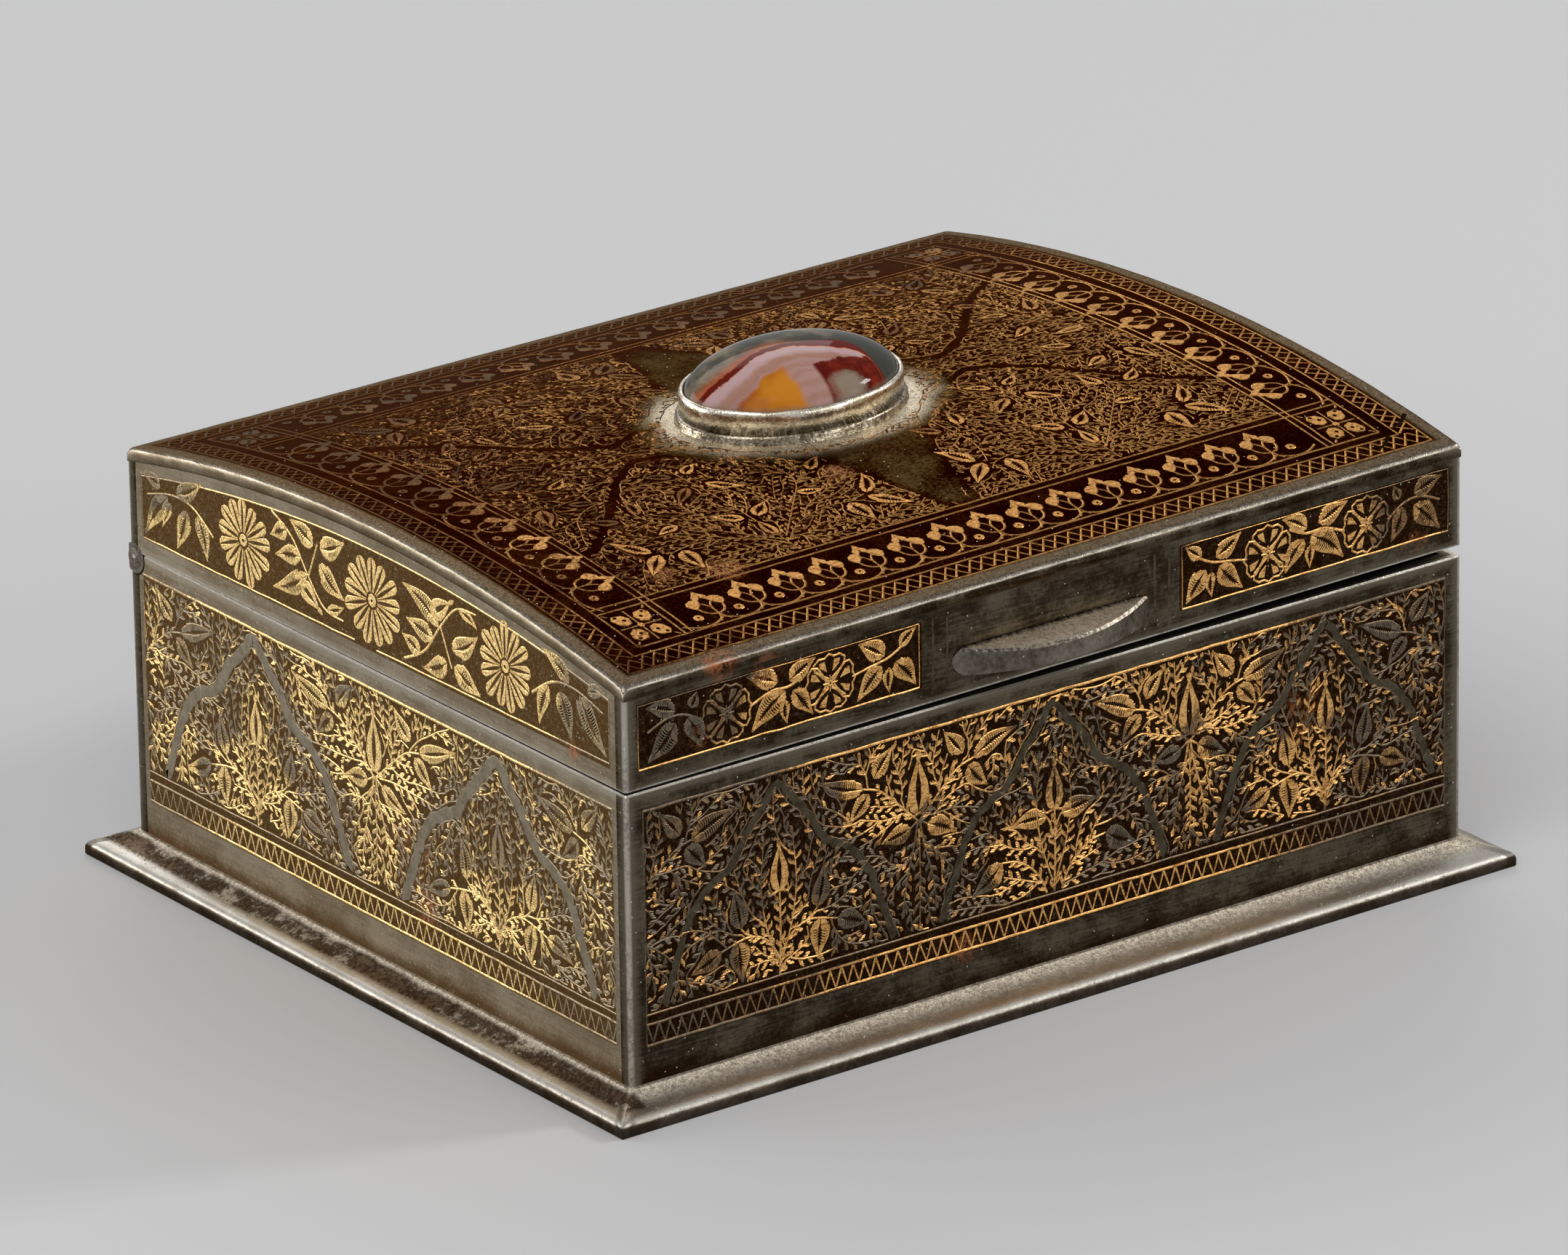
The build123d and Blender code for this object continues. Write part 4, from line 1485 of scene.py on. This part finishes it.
def engraved(name):
    """The dark floor of eyes and scratches."""
    m = Material(name)
    fine = m.noise(0.5, 3.0, 0.6)
    m.set(Base_Color=m.mix((0.004, 0.002, 0.001), (0.018, 0.010, 0.006), fine))
    m.set(Metallic=1.0, Roughness=0.5, Specular_Tint=EDGE_TINT)
    return m.material


def steel_top(name):
    """The lid's top: brown-black, brushed along its rounded edge, with a pale halo of solder."""
    m = Material(name)
    across, up = m.normal()
    cloud = m.noise(6.0, 5.0, 0.62)
    fine = m.noise(0.4, 4.0, 0.7)
    grain = m.noise(0.15, 2.0, 0.6)
    brushed = m.noise(0.5, 3.0, 0.6, (0.12, 0.12, 1.6), shift=7)
    edge = from_wall(m)
    colour = m.mix((0.0036, 0.0011, 0.0003), (0.045, 0.022, 0.010),
                   (fine * 0.45 + grain * 0.3 + cloud * 0.35).ramp(0.50, 0.74))
    colour = m.mix(colour, (0.042, 0.013, 0.003), m.y.ramp(-10.0, 40.0) * 0.5)
    reach = oval(m, 0.0, 0.0, 16.2, 12.8)
    halo = (reach + (cloud - 0.5) * 0.9 + (fine - 0.5) * 0.9).fall(0.78, 1.42) * up.ramp(0.0, 0.3)
    solder = m.mix((0.10, 0.068, 0.036), (0.84, 0.71, 0.50), (fine * 0.55 + grain * 0.45).ramp(0.42, 0.6))
    glow = m.mix((0.34, 0.27, 0.18), (1.0, 0.92, 0.74), (fine * 0.5 + grain * 0.5).ramp(0.40, 0.56))
    solder = m.mix(solder, glow, (reach + (fine - 0.5) * 0.4).fall(0.82, 1.2))
    colour = m.mix(colour, solder, halo)
    side_gap = (abs(m.y) - WEDGE_START) * -WEDGE_TAPER + WEDGE_HALF - abs(m.x)
    side_gap = side_gap + (cloud - 0.5) * 5.0 + (fine - 0.5) * 3.0
    bare = side_gap.ramp(-0.6, 1.4) * abs(m.y).ramp(12.0, 14.0) * abs(m.y).fall(29.5, 31.0)
    worn = m.mix((0.008, 0.004, 0.002), (0.095, 0.068, 0.043),
                 (fine * 0.45 + grain * 0.2 + cloud * 0.35).ramp(0.42, 0.62))
    colour = m.mix(colour, worn, bare * 0.85)
    smear = (oval(m, -12.5, -15.0, 8.0, 3.4) + (cloud - 0.5) * 1.6).fall(0.5, 1.2)
    colour = m.mix(colour, (0.006, 0.003, 0.0015), smear * 0.85)
    salmon = near(m, SALMON_SPOTS) * (fine * 0.6 + grain * 0.4).ramp(0.46, 0.56)
    colour = m.mix(colour, (0.42, 0.16, 0.075), salmon * 0.8)
    margin = (edge + (cloud - 0.5) * 0.9 + (fine - 0.5) * 0.5).fall(1.5, 2.2)
    tawny = m.mix((0.085, 0.060, 0.038), (0.25, 0.20, 0.145), (fine * 0.5 + grain * 0.5).ramp(0.38, 0.62))
    colour = m.mix(colour, tawny, margin * 0.9)
    # Painted light: the left-facing side takes the lighter, lit finish.
    left = across.fall(-0.75, -0.4)
    mottle = (cloud + (fine - 0.5) * 0.55 + (brushed - 0.5) * 0.5).ramp(0.36, 0.66)
    side = m.mix(DARK_FINISH.stain, DARK_FINISH.plain, mottle)
    side = m.mix(side, m.mix(LIT_SIDE_FINISH.stain, LIT_SIDE_FINISH.plain, mottle), left)
    side = m.mix(side, m.mix(DARK_FINISH.rim, LIT_SIDE_FINISH.rim, left), from_arris(m).ramp(0.2, 2.2, 0.8, 0.0))
    colour = m.mix(side, colour, up.ramp(0.5, 0.95))
    # A dark line at the seam with the lid wall: the seam itself, and painted shadow under the rim.
    seam_and_shadow = over_lid_edge(m).fall(SIDE_HEIGHT - 1.5, SIDE_HEIGHT - 0.9) * abs(up).fall(0.05, 0.3)
    ends = abs(across).fall(0.4, 0.7)
    colour = m.mix(colour, (0.016, 0.011, 0.007), seam_and_shadow * ends * 0.85)
    under_steel = m.mix(inner_steel(m, cloud, fine), (0.055, 0.042, 0.030), 0.55)
    colour = m.mix(colour, under_steel, up.fall(-0.8, -0.5))
    arris = up.ramp(0.25, 0.5) * up.fall(0.80, 0.92)
    steel = m.mix((0.15, 0.125, 0.095), (0.33, 0.30, 0.25), (brushed * 0.6 + fine * 0.4).ramp(0.38, 0.6))
    colour = m.mix(colour, steel, arris)
    rust = near(m, RUST_SPOTS) * (cloud * 0.5 + fine * 0.5).ramp(0.40, 0.54)
    colour = m.mix(colour, RUST, rust * 0.8)
    colour = m.mix(colour, (0.8, 0.74, 0.66), pale_specks(m) * up.ramp(0.6, 0.9) * 0.85)
    metallic = (rust + salmon * 0.6 + halo * 0.15).ramp(0, 1, 1.0, 0.4)
    rough = fine * 0.2 + (halo * -0.06 + 0.34) - arris * 0.16
    relief = grain * (halo * 1.4 + 0.4) + fine
    return m.metal(colour, rough, relief, 0.035, Metallic=metallic, Specular_Tint=TOP_TINT)


def silver(name):
    """Tarnished silver with dark specks."""
    m = Material(name)
    cloud = m.noise(2.6, 4.0, 0.62)
    fine = m.noise(0.35, 3.0, 0.65)
    specks = m.noise(0.7, 3.0, 0.7, shift=7).ramp(0.53, 0.63)
    over_foot = m.z - FOOT[1].z
    low = over_foot.fall(0.1, 1.7)
    colour = m.mix((0.42, 0.36, 0.26), (0.82, 0.77, 0.66), (cloud + (fine - 0.5) * 0.5).ramp(0.36, 0.66))
    on_band = over_foot.ramp(0.0, 0.1)
    dull = m.mix((0.13, 0.10, 0.062), (0.50, 0.44, 0.33), (cloud * 0.5 + fine * 0.5).ramp(0.38, 0.62))
    colour = m.mix(dull, colour, on_band)
    colour = m.mix(colour, (0.10, 0.055, 0.025), low * on_band * cloud.ramp(0.4, 0.62) * 0.8)
    colour = m.mix(colour, (0.045, 0.028, 0.016), specks * (low * 0.6 + 0.2))
    m.set(Base_Color=colour, Metallic=1.0)
    m.set(Roughness=fine * 0.14 + (specks * 0.22 + 0.14))
    m.bump(fine + cloud * 2.0, 0.05)
    return m.material


def agate(name):
    """Agate: clear grey at its back and rim, a red band over lilac, amber and dark red bands."""
    m = Material(name)
    low, high = (-14, -10), (14, 10)
    course = [(-14, 0.6), (-12.3, -0.8), (-9.0, -1.5), (-5.3, -0.7), (-1.7, -0.9), (1.0, -2.1),
              (3.0, -3.0), (5.0, -3.8), (6.4, -5.6), (7.0, -9.0), (14, -10)]
    warp = m.noise(1.9, 3.0, 0.55)
    fine = m.noise(0.5, 3.0, 0.65)
    soft = m.noise(4.0, 2.0, 0.5, shift=5)
    over = m.y - m.curve(m.x, course, low, high) + (warp - 0.5) * 1.3 + (fine - 0.5) * 0.35
    clear = m.mix((0.050, 0.050, 0.036), (0.20, 0.155, 0.10), (soft + (fine - 0.5) * 0.3).ramp(0.42, 0.66))
    clear = m.mix(clear, (0.045, 0.046, 0.038), m.x.ramp(3.0, 8.0))
    blush = over.fall(0.3, 2.6) * m.x.fall(-3.5, 2.0)
    clear = m.mix(clear, (0.50, 0.115, 0.035), blush * 0.85)
    layers = (over * 5.0 + (warp - 0.5) * 3.0).math("SINE") * 0.5 + 0.5
    lilac = m.mix((0.38, 0.20, 0.155), (0.48, 0.29, 0.26), layers * 0.45 + fine * 0.3)
    lilac = m.mix((0.53, 0.35, 0.35), lilac, over.fall(-2.4, -1.2))
    lilac = m.mix(lilac, (0.36, 0.17, 0.10), over.ramp(-3.4, -1.9) * over.fall(-2.3, -1.6) * 0.6)
    amber = m.mix((0.36, 0.075, 0.005), (0.60, 0.22, 0.018), (soft * 0.7 + m.x * 0.03).ramp(-0.05, 0.3))
    lump = over.fall(-3.7, -3.1) * (m.x + (warp - 0.5) * 1.4).fall(-4.8, -3.8)
    inner = m.mix(lilac, amber, lump)
    dark = m.x.ramp(-1.5, -0.9) * (m.y + (warp - 0.5) * 1.6 + (fine - 0.5) * 0.5).fall(-5.6, -5.2)
    patch = m.mix((0.10, 0.006, 0.002), (0.21, 0.018, 0.006), (warp * 0.7 + fine * 0.3).ramp(0.40, 0.62))
    spot = oval(m, 1.4, -8.4, 2.3, 1.3) + (warp - 0.5) + (fine - 0.5)
    patch = m.mix(patch, (0.27, 0.21, 0.15), spot.fall(0.2, 1.4))
    inner = m.mix(inner, patch, dark)
    colour = m.mix(inner, (0.66, 0.24, 0.10), over.ramp(-0.62, -0.42) * m.x.ramp(-9.0, 3.0, 0.35, 1.0))
    colour = m.mix(colour, (0.13, 0.009, 0.003), over.ramp(-0.4, -0.2))
    band_width = m.x.ramp(-3.0, 5.0, 0.45, 1.5)
    colour = m.mix(colour, clear, (over - band_width).ramp(0.0, 0.35))
    rim = (oval(m, 0.0, 0.0, STONE[1].x, STONE[1].y) + (warp - 0.5) * 0.06).ramp(0.93, 1.0)
    colour = m.mix(colour, (0.20, 0.17, 0.12), rim * 0.6)
    m.set(Base_Color=m.mix(colour, BLACK, 0.3), Metallic=0.0, Roughness=0.05, IOR=1.14)
    return m.material


# Shapes that stand for CAD nodes with finer ones

def linked(name, data):
    """A new object in the scene."""
    thing = bpy.data.objects.new(name, data)
    bpy.context.scene.collection.objects.link(thing)
    return thing


def dress(mesh, body, materials):
    """Sets a mesh in the scene, on its body and in its slot."""
    thing = linked(mesh.name, mesh)
    for material in materials:
        mesh.materials.append(material)
    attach(thing, body)
    return thing


def piece(name, shape, body, material, node):
    """A smooth piece that stands for a CAD node, from its points and faces."""
    points, faces = shape
    mesh = bpy.data.meshes.new(name)
    mesh.from_pydata([Vector(p) * MM for p in points], [], faces)
    mesh.update()
    mesh.shade_smooth()
    thing = dress(mesh, body, [material])
    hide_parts(node)


def oval_ring(profile, count=160):
    """A closed ring over ovals. The profile is a loop of (grow, height) functions of the angle."""
    points, faces = [], []
    wide, narrow = STONE[1].x, STONE[1].y
    rows = len(profile)
    for k in range(count):
        angle = tau * k / count
        for grow, height in profile:
            g = grow(angle) if callable(grow) else grow
            x, y = (wide + g) * cos(angle), (narrow + g) * sin(angle)
            z = height(x, y, angle) if callable(height) else height
            points.append((x, y, z))
    for k in range(count):
        n = (k + 1) % count
        for row in range(rows):
            after = (row + 1) % rows
            faces.append((k * rows + row, n * rows + row, n * rows + after, k * rows + after))
    return points, faces


def stone_mesh(count=128, rings=40):
    """The cabochon: a short skirt and a smooth dome."""
    wide, narrow = STONE[1].x, STONE[1].y
    low, top = STONE[0].z, STONE[1].z
    skirt = 1.7
    dome = top - low - skirt
    points, faces = [], []
    levels = [(0.985, low), (1.0, low + 0.15)]
    levels += [(cos(pi / 2 * k / rings), low + skirt + dome * sin(pi / 2 * k / rings)) for k in range(rings)]
    for share, z in levels:
        for k in range(count):
            angle = tau * k / count
            points.append((wide * share * cos(angle), narrow * share * sin(angle), z))
    rows = len(levels)
    for row in range(rows - 1):
        for k in range(count):
            n = (k + 1) % count
            faces.append((row * count + k, row * count + n, (row + 1) * count + n, (row + 1) * count + k))
    points.append((0, 0, top))
    last = (rows - 1) * count
    faces += [(last + k, last + (k + 1) % count, len(points) - 1) for k in range(count)]
    faces.append(tuple(range(count - 1, -1, -1)))
    return points, faces


def lid_skin(count_x=112, count_y=92):
    """The lid's vaulted sheet with edges rounded unevenly by wear."""
    rng = random.Random(5)
    samples = 200
    nick = []
    for side in range(4):
        level = 0.0
        values = []
        for k in range(samples):
            level = 0.82 * level + rng.gauss(0, 0.02)
            values.append(level)
        nick.append(values)

    def edge_line(half, count):
        inner = [-half + step for step in (0, 0.05, 0.16, 0.34, 0.58, 0.9, 1.3)]
        middle = list(np.linspace(-half + 1.9, half - 1.9, count))
        return inner + middle + [-v for v in reversed(inner)]

    def drop(x, y):
        dx, dy = LENGTH - abs(x), DEPTH - abs(y)
        side_x = nick[0 if x < 0 else 1][int((y + DEPTH) / (2 * DEPTH) * (samples - 1))]
        side_y = nick[2 if y < 0 else 3][int((x + LENGTH) / (2 * LENGTH) * (samples - 1))]
        radius = 0.55 + (side_x if dx < dy else side_y) * 0.8
        share = hypot(max(0.0, 1 - dx / radius), max(0.0, 1 - dy / radius))
        return radius * (1 - sqrt(1 - min(1.0, share)**2))

    xs, ys = edge_line(LENGTH, count_x), edge_line(DEPTH, count_y)
    under = VAULT_RADIUS - SHEET
    points = [(x, y, vault(x, y) - sqrt(VAULT_RADIUS**2 - y**2) + sqrt(under**2 - y**2))
              for x in xs for y in ys]
    points += [(x, y, vault(x, y) - drop(x, y)) for x in xs for y in ys]
    faces = []
    wide, deep = len(xs), len(ys)

    def at(layer, i, j):
        return layer * wide * deep + i * deep + j

    for i in range(wide - 1):
        for j in range(deep - 1):
            faces.append((at(1, i, j), at(1, i + 1, j), at(1, i + 1, j + 1), at(1, i, j + 1)))
            faces.append((at(0, i, j), at(0, i, j + 1), at(0, i + 1, j + 1), at(0, i + 1, j)))
    for i in range(wide - 1):
        faces.append((at(0, i, 0), at(0, i + 1, 0), at(1, i + 1, 0), at(1, i, 0)))
        faces.append((at(0, i + 1, deep - 1), at(0, i, deep - 1), at(1, i, deep - 1), at(1, i + 1, deep - 1)))
    for j in range(deep - 1):
        faces.append((at(0, 0, j + 1), at(0, 0, j), at(1, 0, j), at(1, 0, j + 1)))
        faces.append((at(0, wide - 1, j), at(0, wide - 1, j + 1), at(1, wide - 1, j + 1), at(1, wide - 1, j)))
    return points, faces


def bezel_band_profile():
    """Upright strip with its rim worked in over the stone."""
    low, high = BAND[0].z, BAND[1].z

    def sway(amount, phase):
        return lambda a: amount * (sin(5 * a + phase) + 0.6 * sin(11 * a + 2.3 * phase))

    def add(base, wave):
        return lambda a: base + wave(a)

    rim = sway(0.03, 0.7)
    lift = sway(0.05, 2.1)

    def raised(z):
        return lambda x, y, a: z + lift(a)

    return [
        (0.50, low), (0.50, high - 0.7), (add(0.47, rim), raised(high - 0.4)),
        (add(0.36, rim), raised(high - 0.14)), (add(0.20, rim), raised(high - 0.05)),
        (add(0.02, rim), raised(high - 0.08)), (add(-0.10, rim), raised(high - 0.22)),
        (0.05, high - 0.68), (0.05, low),
    ]


def bezel_foot_profile():
    """Stepped ring, with a soft shoulder of solder where it meets the vault."""
    top = FOOT[1].z
    lowest = FOOT[0].z

    def on_vault(lift):
        return lambda x, y, a: max(lowest, vault(x, y) + lift)

    return [
        (1.05, on_vault(-0.25)), (1.02, on_vault(0.02)), (0.93, on_vault(0.22)), (0.9, top - 0.3),
        (0.8, top - 0.09), (0.6, top), (-1.6, top), (-1.6, on_vault(-0.25)),
    ]


# The moulding's section: how far out, and how high as a share of the whole

PLINTH_PROFILE = [
    (0.0, 0.0), (0.0, 1.0), (0.3, 0.94), (0.7, 0.868), (1.2, 0.796), (1.8, 0.728), (2.4, 0.668),
    (3.0, 0.615), (3.45, 0.572), (3.8, 0.525), (4.08, 0.465), (4.27, 0.40), (4.37, 0.33), (4.4, 0.26),
    (4.4, 0.05), (4.3, 0.0),
]


def plinth_mesh(side, seed, count=70):
    """One mitred length of the moulding, its nose dented a little by wear."""
    rng = random.Random(seed)
    right, out, distance = SIDES[side]
    half = LENGTH if side in ("front", "back") else DEPTH
    reach = (PLINTH[1].y - PLINTH[0].y) / PLINTH_PROFILE[-2][0]
    dent = 0.0
    points, faces = [], []
    rows = len(PLINTH_PROFILE)
    for k in range(count + 1):
        share = 2 * k / count - 1
        dent = 0.75 * dent + rng.gauss(0, 0.018)
        for o, level in PLINTH_PROFILE:
            o *= reach
            z = level * PLINTH[1].z
            if o > 3.0 and level > 0.1 and 0 < k < count:
                o -= abs(dent)
                z -= abs(dent)
            u = share * (half + o)
            points.append((right[0] * u + out[0] * (distance + o), right[1] * u + out[1] * (distance + o), z))
    for k in range(count):
        for row in range(rows):
            after = (row + 1) % rows
            a, b = k * rows, (k + 1) * rows
            faces.append((a + row, a + after, b + after, b + row))
    faces.append(tuple(range(rows - 1, -1, -1)))
    faces.append(tuple(range(count * rows, count * rows + rows)))
    return points, faces


# Putting it together

BODY, LID = "casket_body", "lid"
nodes = frame["nodes"]


def paint(names, material):
    for name in names:
        mesh_object = nodes[name]
        if not mesh_object.material_slots:
            mesh_object.data.materials.append(material)
        for place in mesh_object.material_slots:
            place.material = material


for number, side in enumerate(SIDES):
    # The left end takes the finish painted as lit.
    finish = LIT_SIDE_FINISH if side == "left" else DARK_FINISH
    lid_field = lid_long_field if side in ("front", "back") else lid_end_field
    paint(["body_" + side + "_wall"],
          steel_wall("steel_" + side, finish, body_field, body_soft, body_painted_highlight, number + 1.0))
    paint(["lid_" + side + "_wall"],
          steel_wall("steel_lid_" + side, finish, lid_field, lid_soft, lid_painted_highlight, number + 5.0))

plinth_material = plinth_steel("steel_plinth")
for number, side in enumerate(SIDES):
    piece("moulding_" + side, plinth_mesh(side, number + 40),
          BODY, plinth_material, "plinth_" + side)
paint(["thumb_piece"], thumb_steel("steel_thumb"))
paint(["hinge_pin", "lid_knuckle_left", "lid_knuckle_middle", "lid_knuckle_right",
       "body_knuckle_left", "body_knuckle_right"],
      bare_metal("steel_hinge", (0.20, 0.18, 0.15), (0.03, 0.022, 0.016), 0.32, 12.0))
paint(["base_plate"], bare_metal("steel_base", (0.21, 0.18, 0.145), (0.05, 0.038, 0.027), 0.4, 13.0))

silver_material = silver("silver")
piece("lid_top_skin", lid_skin(), LID, steel_top("steel_top"), "lid_top_plate")
piece("agate_stone", stone_mesh(), LID, agate("agate"), "cabochon")
piece("bezel_strip", oval_ring(bezel_band_profile()), LID, silver_material, "bezel_band")
piece("bezel_step", oval_ring(bezel_foot_profile()), LID, silver_material, "bezel_foot")


def ink_set(name, gold, band, rough=0.24, relief=0.025):
    """The materials of one panel's ornament, in the order of GOLD, BARE and ENGRAVED."""
    return [inlay_gold("inlay_" + name, *gold, rough, relief), bare_band("band_" + name, *band),
            engraved("engraved_" + name)]


ink_front = ink_set("front", [(0.83, 0.485, 0.175), (0.165, 0.128, 0.088), (0.25, 0.142, 0.062)],
                    [(0.088, 0.072, 0.048), (0.040, 0.030, 0.018)])
# The left end's gold and bands are lighter copies, painted as lit by the light from the left.
lit_ink_left = ink_set("left", [(1.0, 0.76, 0.35), (0.34, 0.275, 0.185), (0.40, 0.29, 0.15)],
                   [(0.30, 0.262, 0.195), (0.20, 0.165, 0.115)], 0.36, 0.04)
ink_top = ink_set("top", [(0.58, 0.305, 0.098), (0.080, 0.032, 0.010), (0.19, 0.074, 0.021)],
                  [(0.06, 0.05, 0.037), (0.03, 0.023, 0.015)])

# An arch layout: the middles of the arches, those of the plants between them, the spread, and the edge

LONG_WALL = ((-36.4, 0.1, 37.1), (-55.0, -17.9, 18.5, 55.0), 1.0, 53.8)
END_WALL = ((-22.55, 22.55), (-45.0, 0.0, 45.0), 1.16, 43.6)
panels = [
    (body_panel("front", *LONG_WALL, FRONT_SPOTS, 11), BODY, ink_front),
    (body_panel("back", *LONG_WALL, BACK_SPOTS, 12), BODY, ink_front),
    (body_panel("left", *END_WALL, LEFT_SPOTS, 13), BODY, lit_ink_left),
    (body_panel("right", *END_WALL, RIGHT_SPOTS, 14), BODY, ink_front),
    (lid_long("front", LID_FRONT_SPOTS, 15), LID, ink_front),
    (lid_long("back", LID_BACK_SPOTS, 16), LID, ink_front),
    (lid_end("left", LID_LEFT_SPOTS, 17), LID, lit_ink_left),
    (lid_end("right", LID_RIGHT_SPOTS, 18), LID, ink_front),
    (lid_top_border(20), LID, ink_top),
]
panels += [(mesh, LID, ink_top) for mesh in lid_top_field(19)]
for mesh, body, materials in panels:
    dress(mesh, body, materials)


# Floor, light and camera, all in metres

AIM = Vector((0, 0, 0.03))


def stage():
    floor = Material("floor")
    floor.set(Base_Color=(0.46, 0.46, 0.463), Roughness=0.7)
    half = 3.0
    mesh = bpy.data.meshes.new("floor")
    corners = [(-half, -half, 0), (half, -half, 0), (half, half, 0), (-half, half, 0)]
    mesh.from_pydata(corners, [], [(0, 1, 2, 3)])
    plane = linked("floor", mesh)
    mesh.materials.append(floor.material)


def world():
    scene_world = bpy.data.worlds.new("world")
    scene_world.use_nodes = True
    background = scene_world.node_tree.nodes["Background"]
    background.inputs["Color"].default_value = (0.90, 0.90, 0.91, 1.0)
    background.inputs["Strength"].default_value = 0.55
    bpy.context.scene.world = scene_world


def lamp(name, place, size, power):
    """A white lamp that faces the casket."""
    data = bpy.data.lights.new(name, "AREA")
    data.shape = "RECTANGLE"
    data.size, data.size_y = size
    data.energy = power
    thing = linked(name, data)
    thing.location = place
    thing.rotation_euler = (AIM - Vector(place)).to_track_quat("-Z", "Y").to_euler()


# The camera's direction from the casket, its place and its lens

AZIMUTH, ELEVATION, ROLL = radians(-36.2456), radians(21.3438), radians(-0.8870)
CAMERA_PLACE = (-0.810687, -1.103792, 0.562561)
LENS = 309.64


def camera():
    data = bpy.data.cameras.new("camera")
    data.sensor_width = 36.0
    data.lens = LENS
    data.clip_end = 20.0
    back = Vector((sin(AZIMUTH) * cos(ELEVATION), -cos(AZIMUTH) * cos(ELEVATION), sin(ELEVATION)))
    right = Vector((cos(AZIMUTH), sin(AZIMUTH), 0))
    up = back.cross(right)
    across = right * cos(ROLL) + up * sin(ROLL)
    upward = up * cos(ROLL) - right * sin(ROLL)
    turn = Matrix((across, upward, back)).transposed().to_4x4()
    thing = linked("camera", data)
    thing.matrix_world = Matrix.Translation(CAMERA_PLACE) @ turn
    bpy.context.scene.camera = thing


stage()
world()
lamp("key", (-1.5, -0.9, 1.9), (2.2, 2.2), 36)
lamp("low_left", (-1.0, 1.15, 0.30), (1.3, 0.6), 13)
lamp("front", (0.85, -1.35, 0.55), (1.2, 0.7), 8)
lamp("right", (1.06, -0.42, 0.65), (0.2, 0.16), 5.5)
lamp("back", (0.5, 1.3, 1.0), (1.4, 0.6), 5)
camera()

scene = bpy.context.scene
scene.view_settings.view_transform = "Standard"
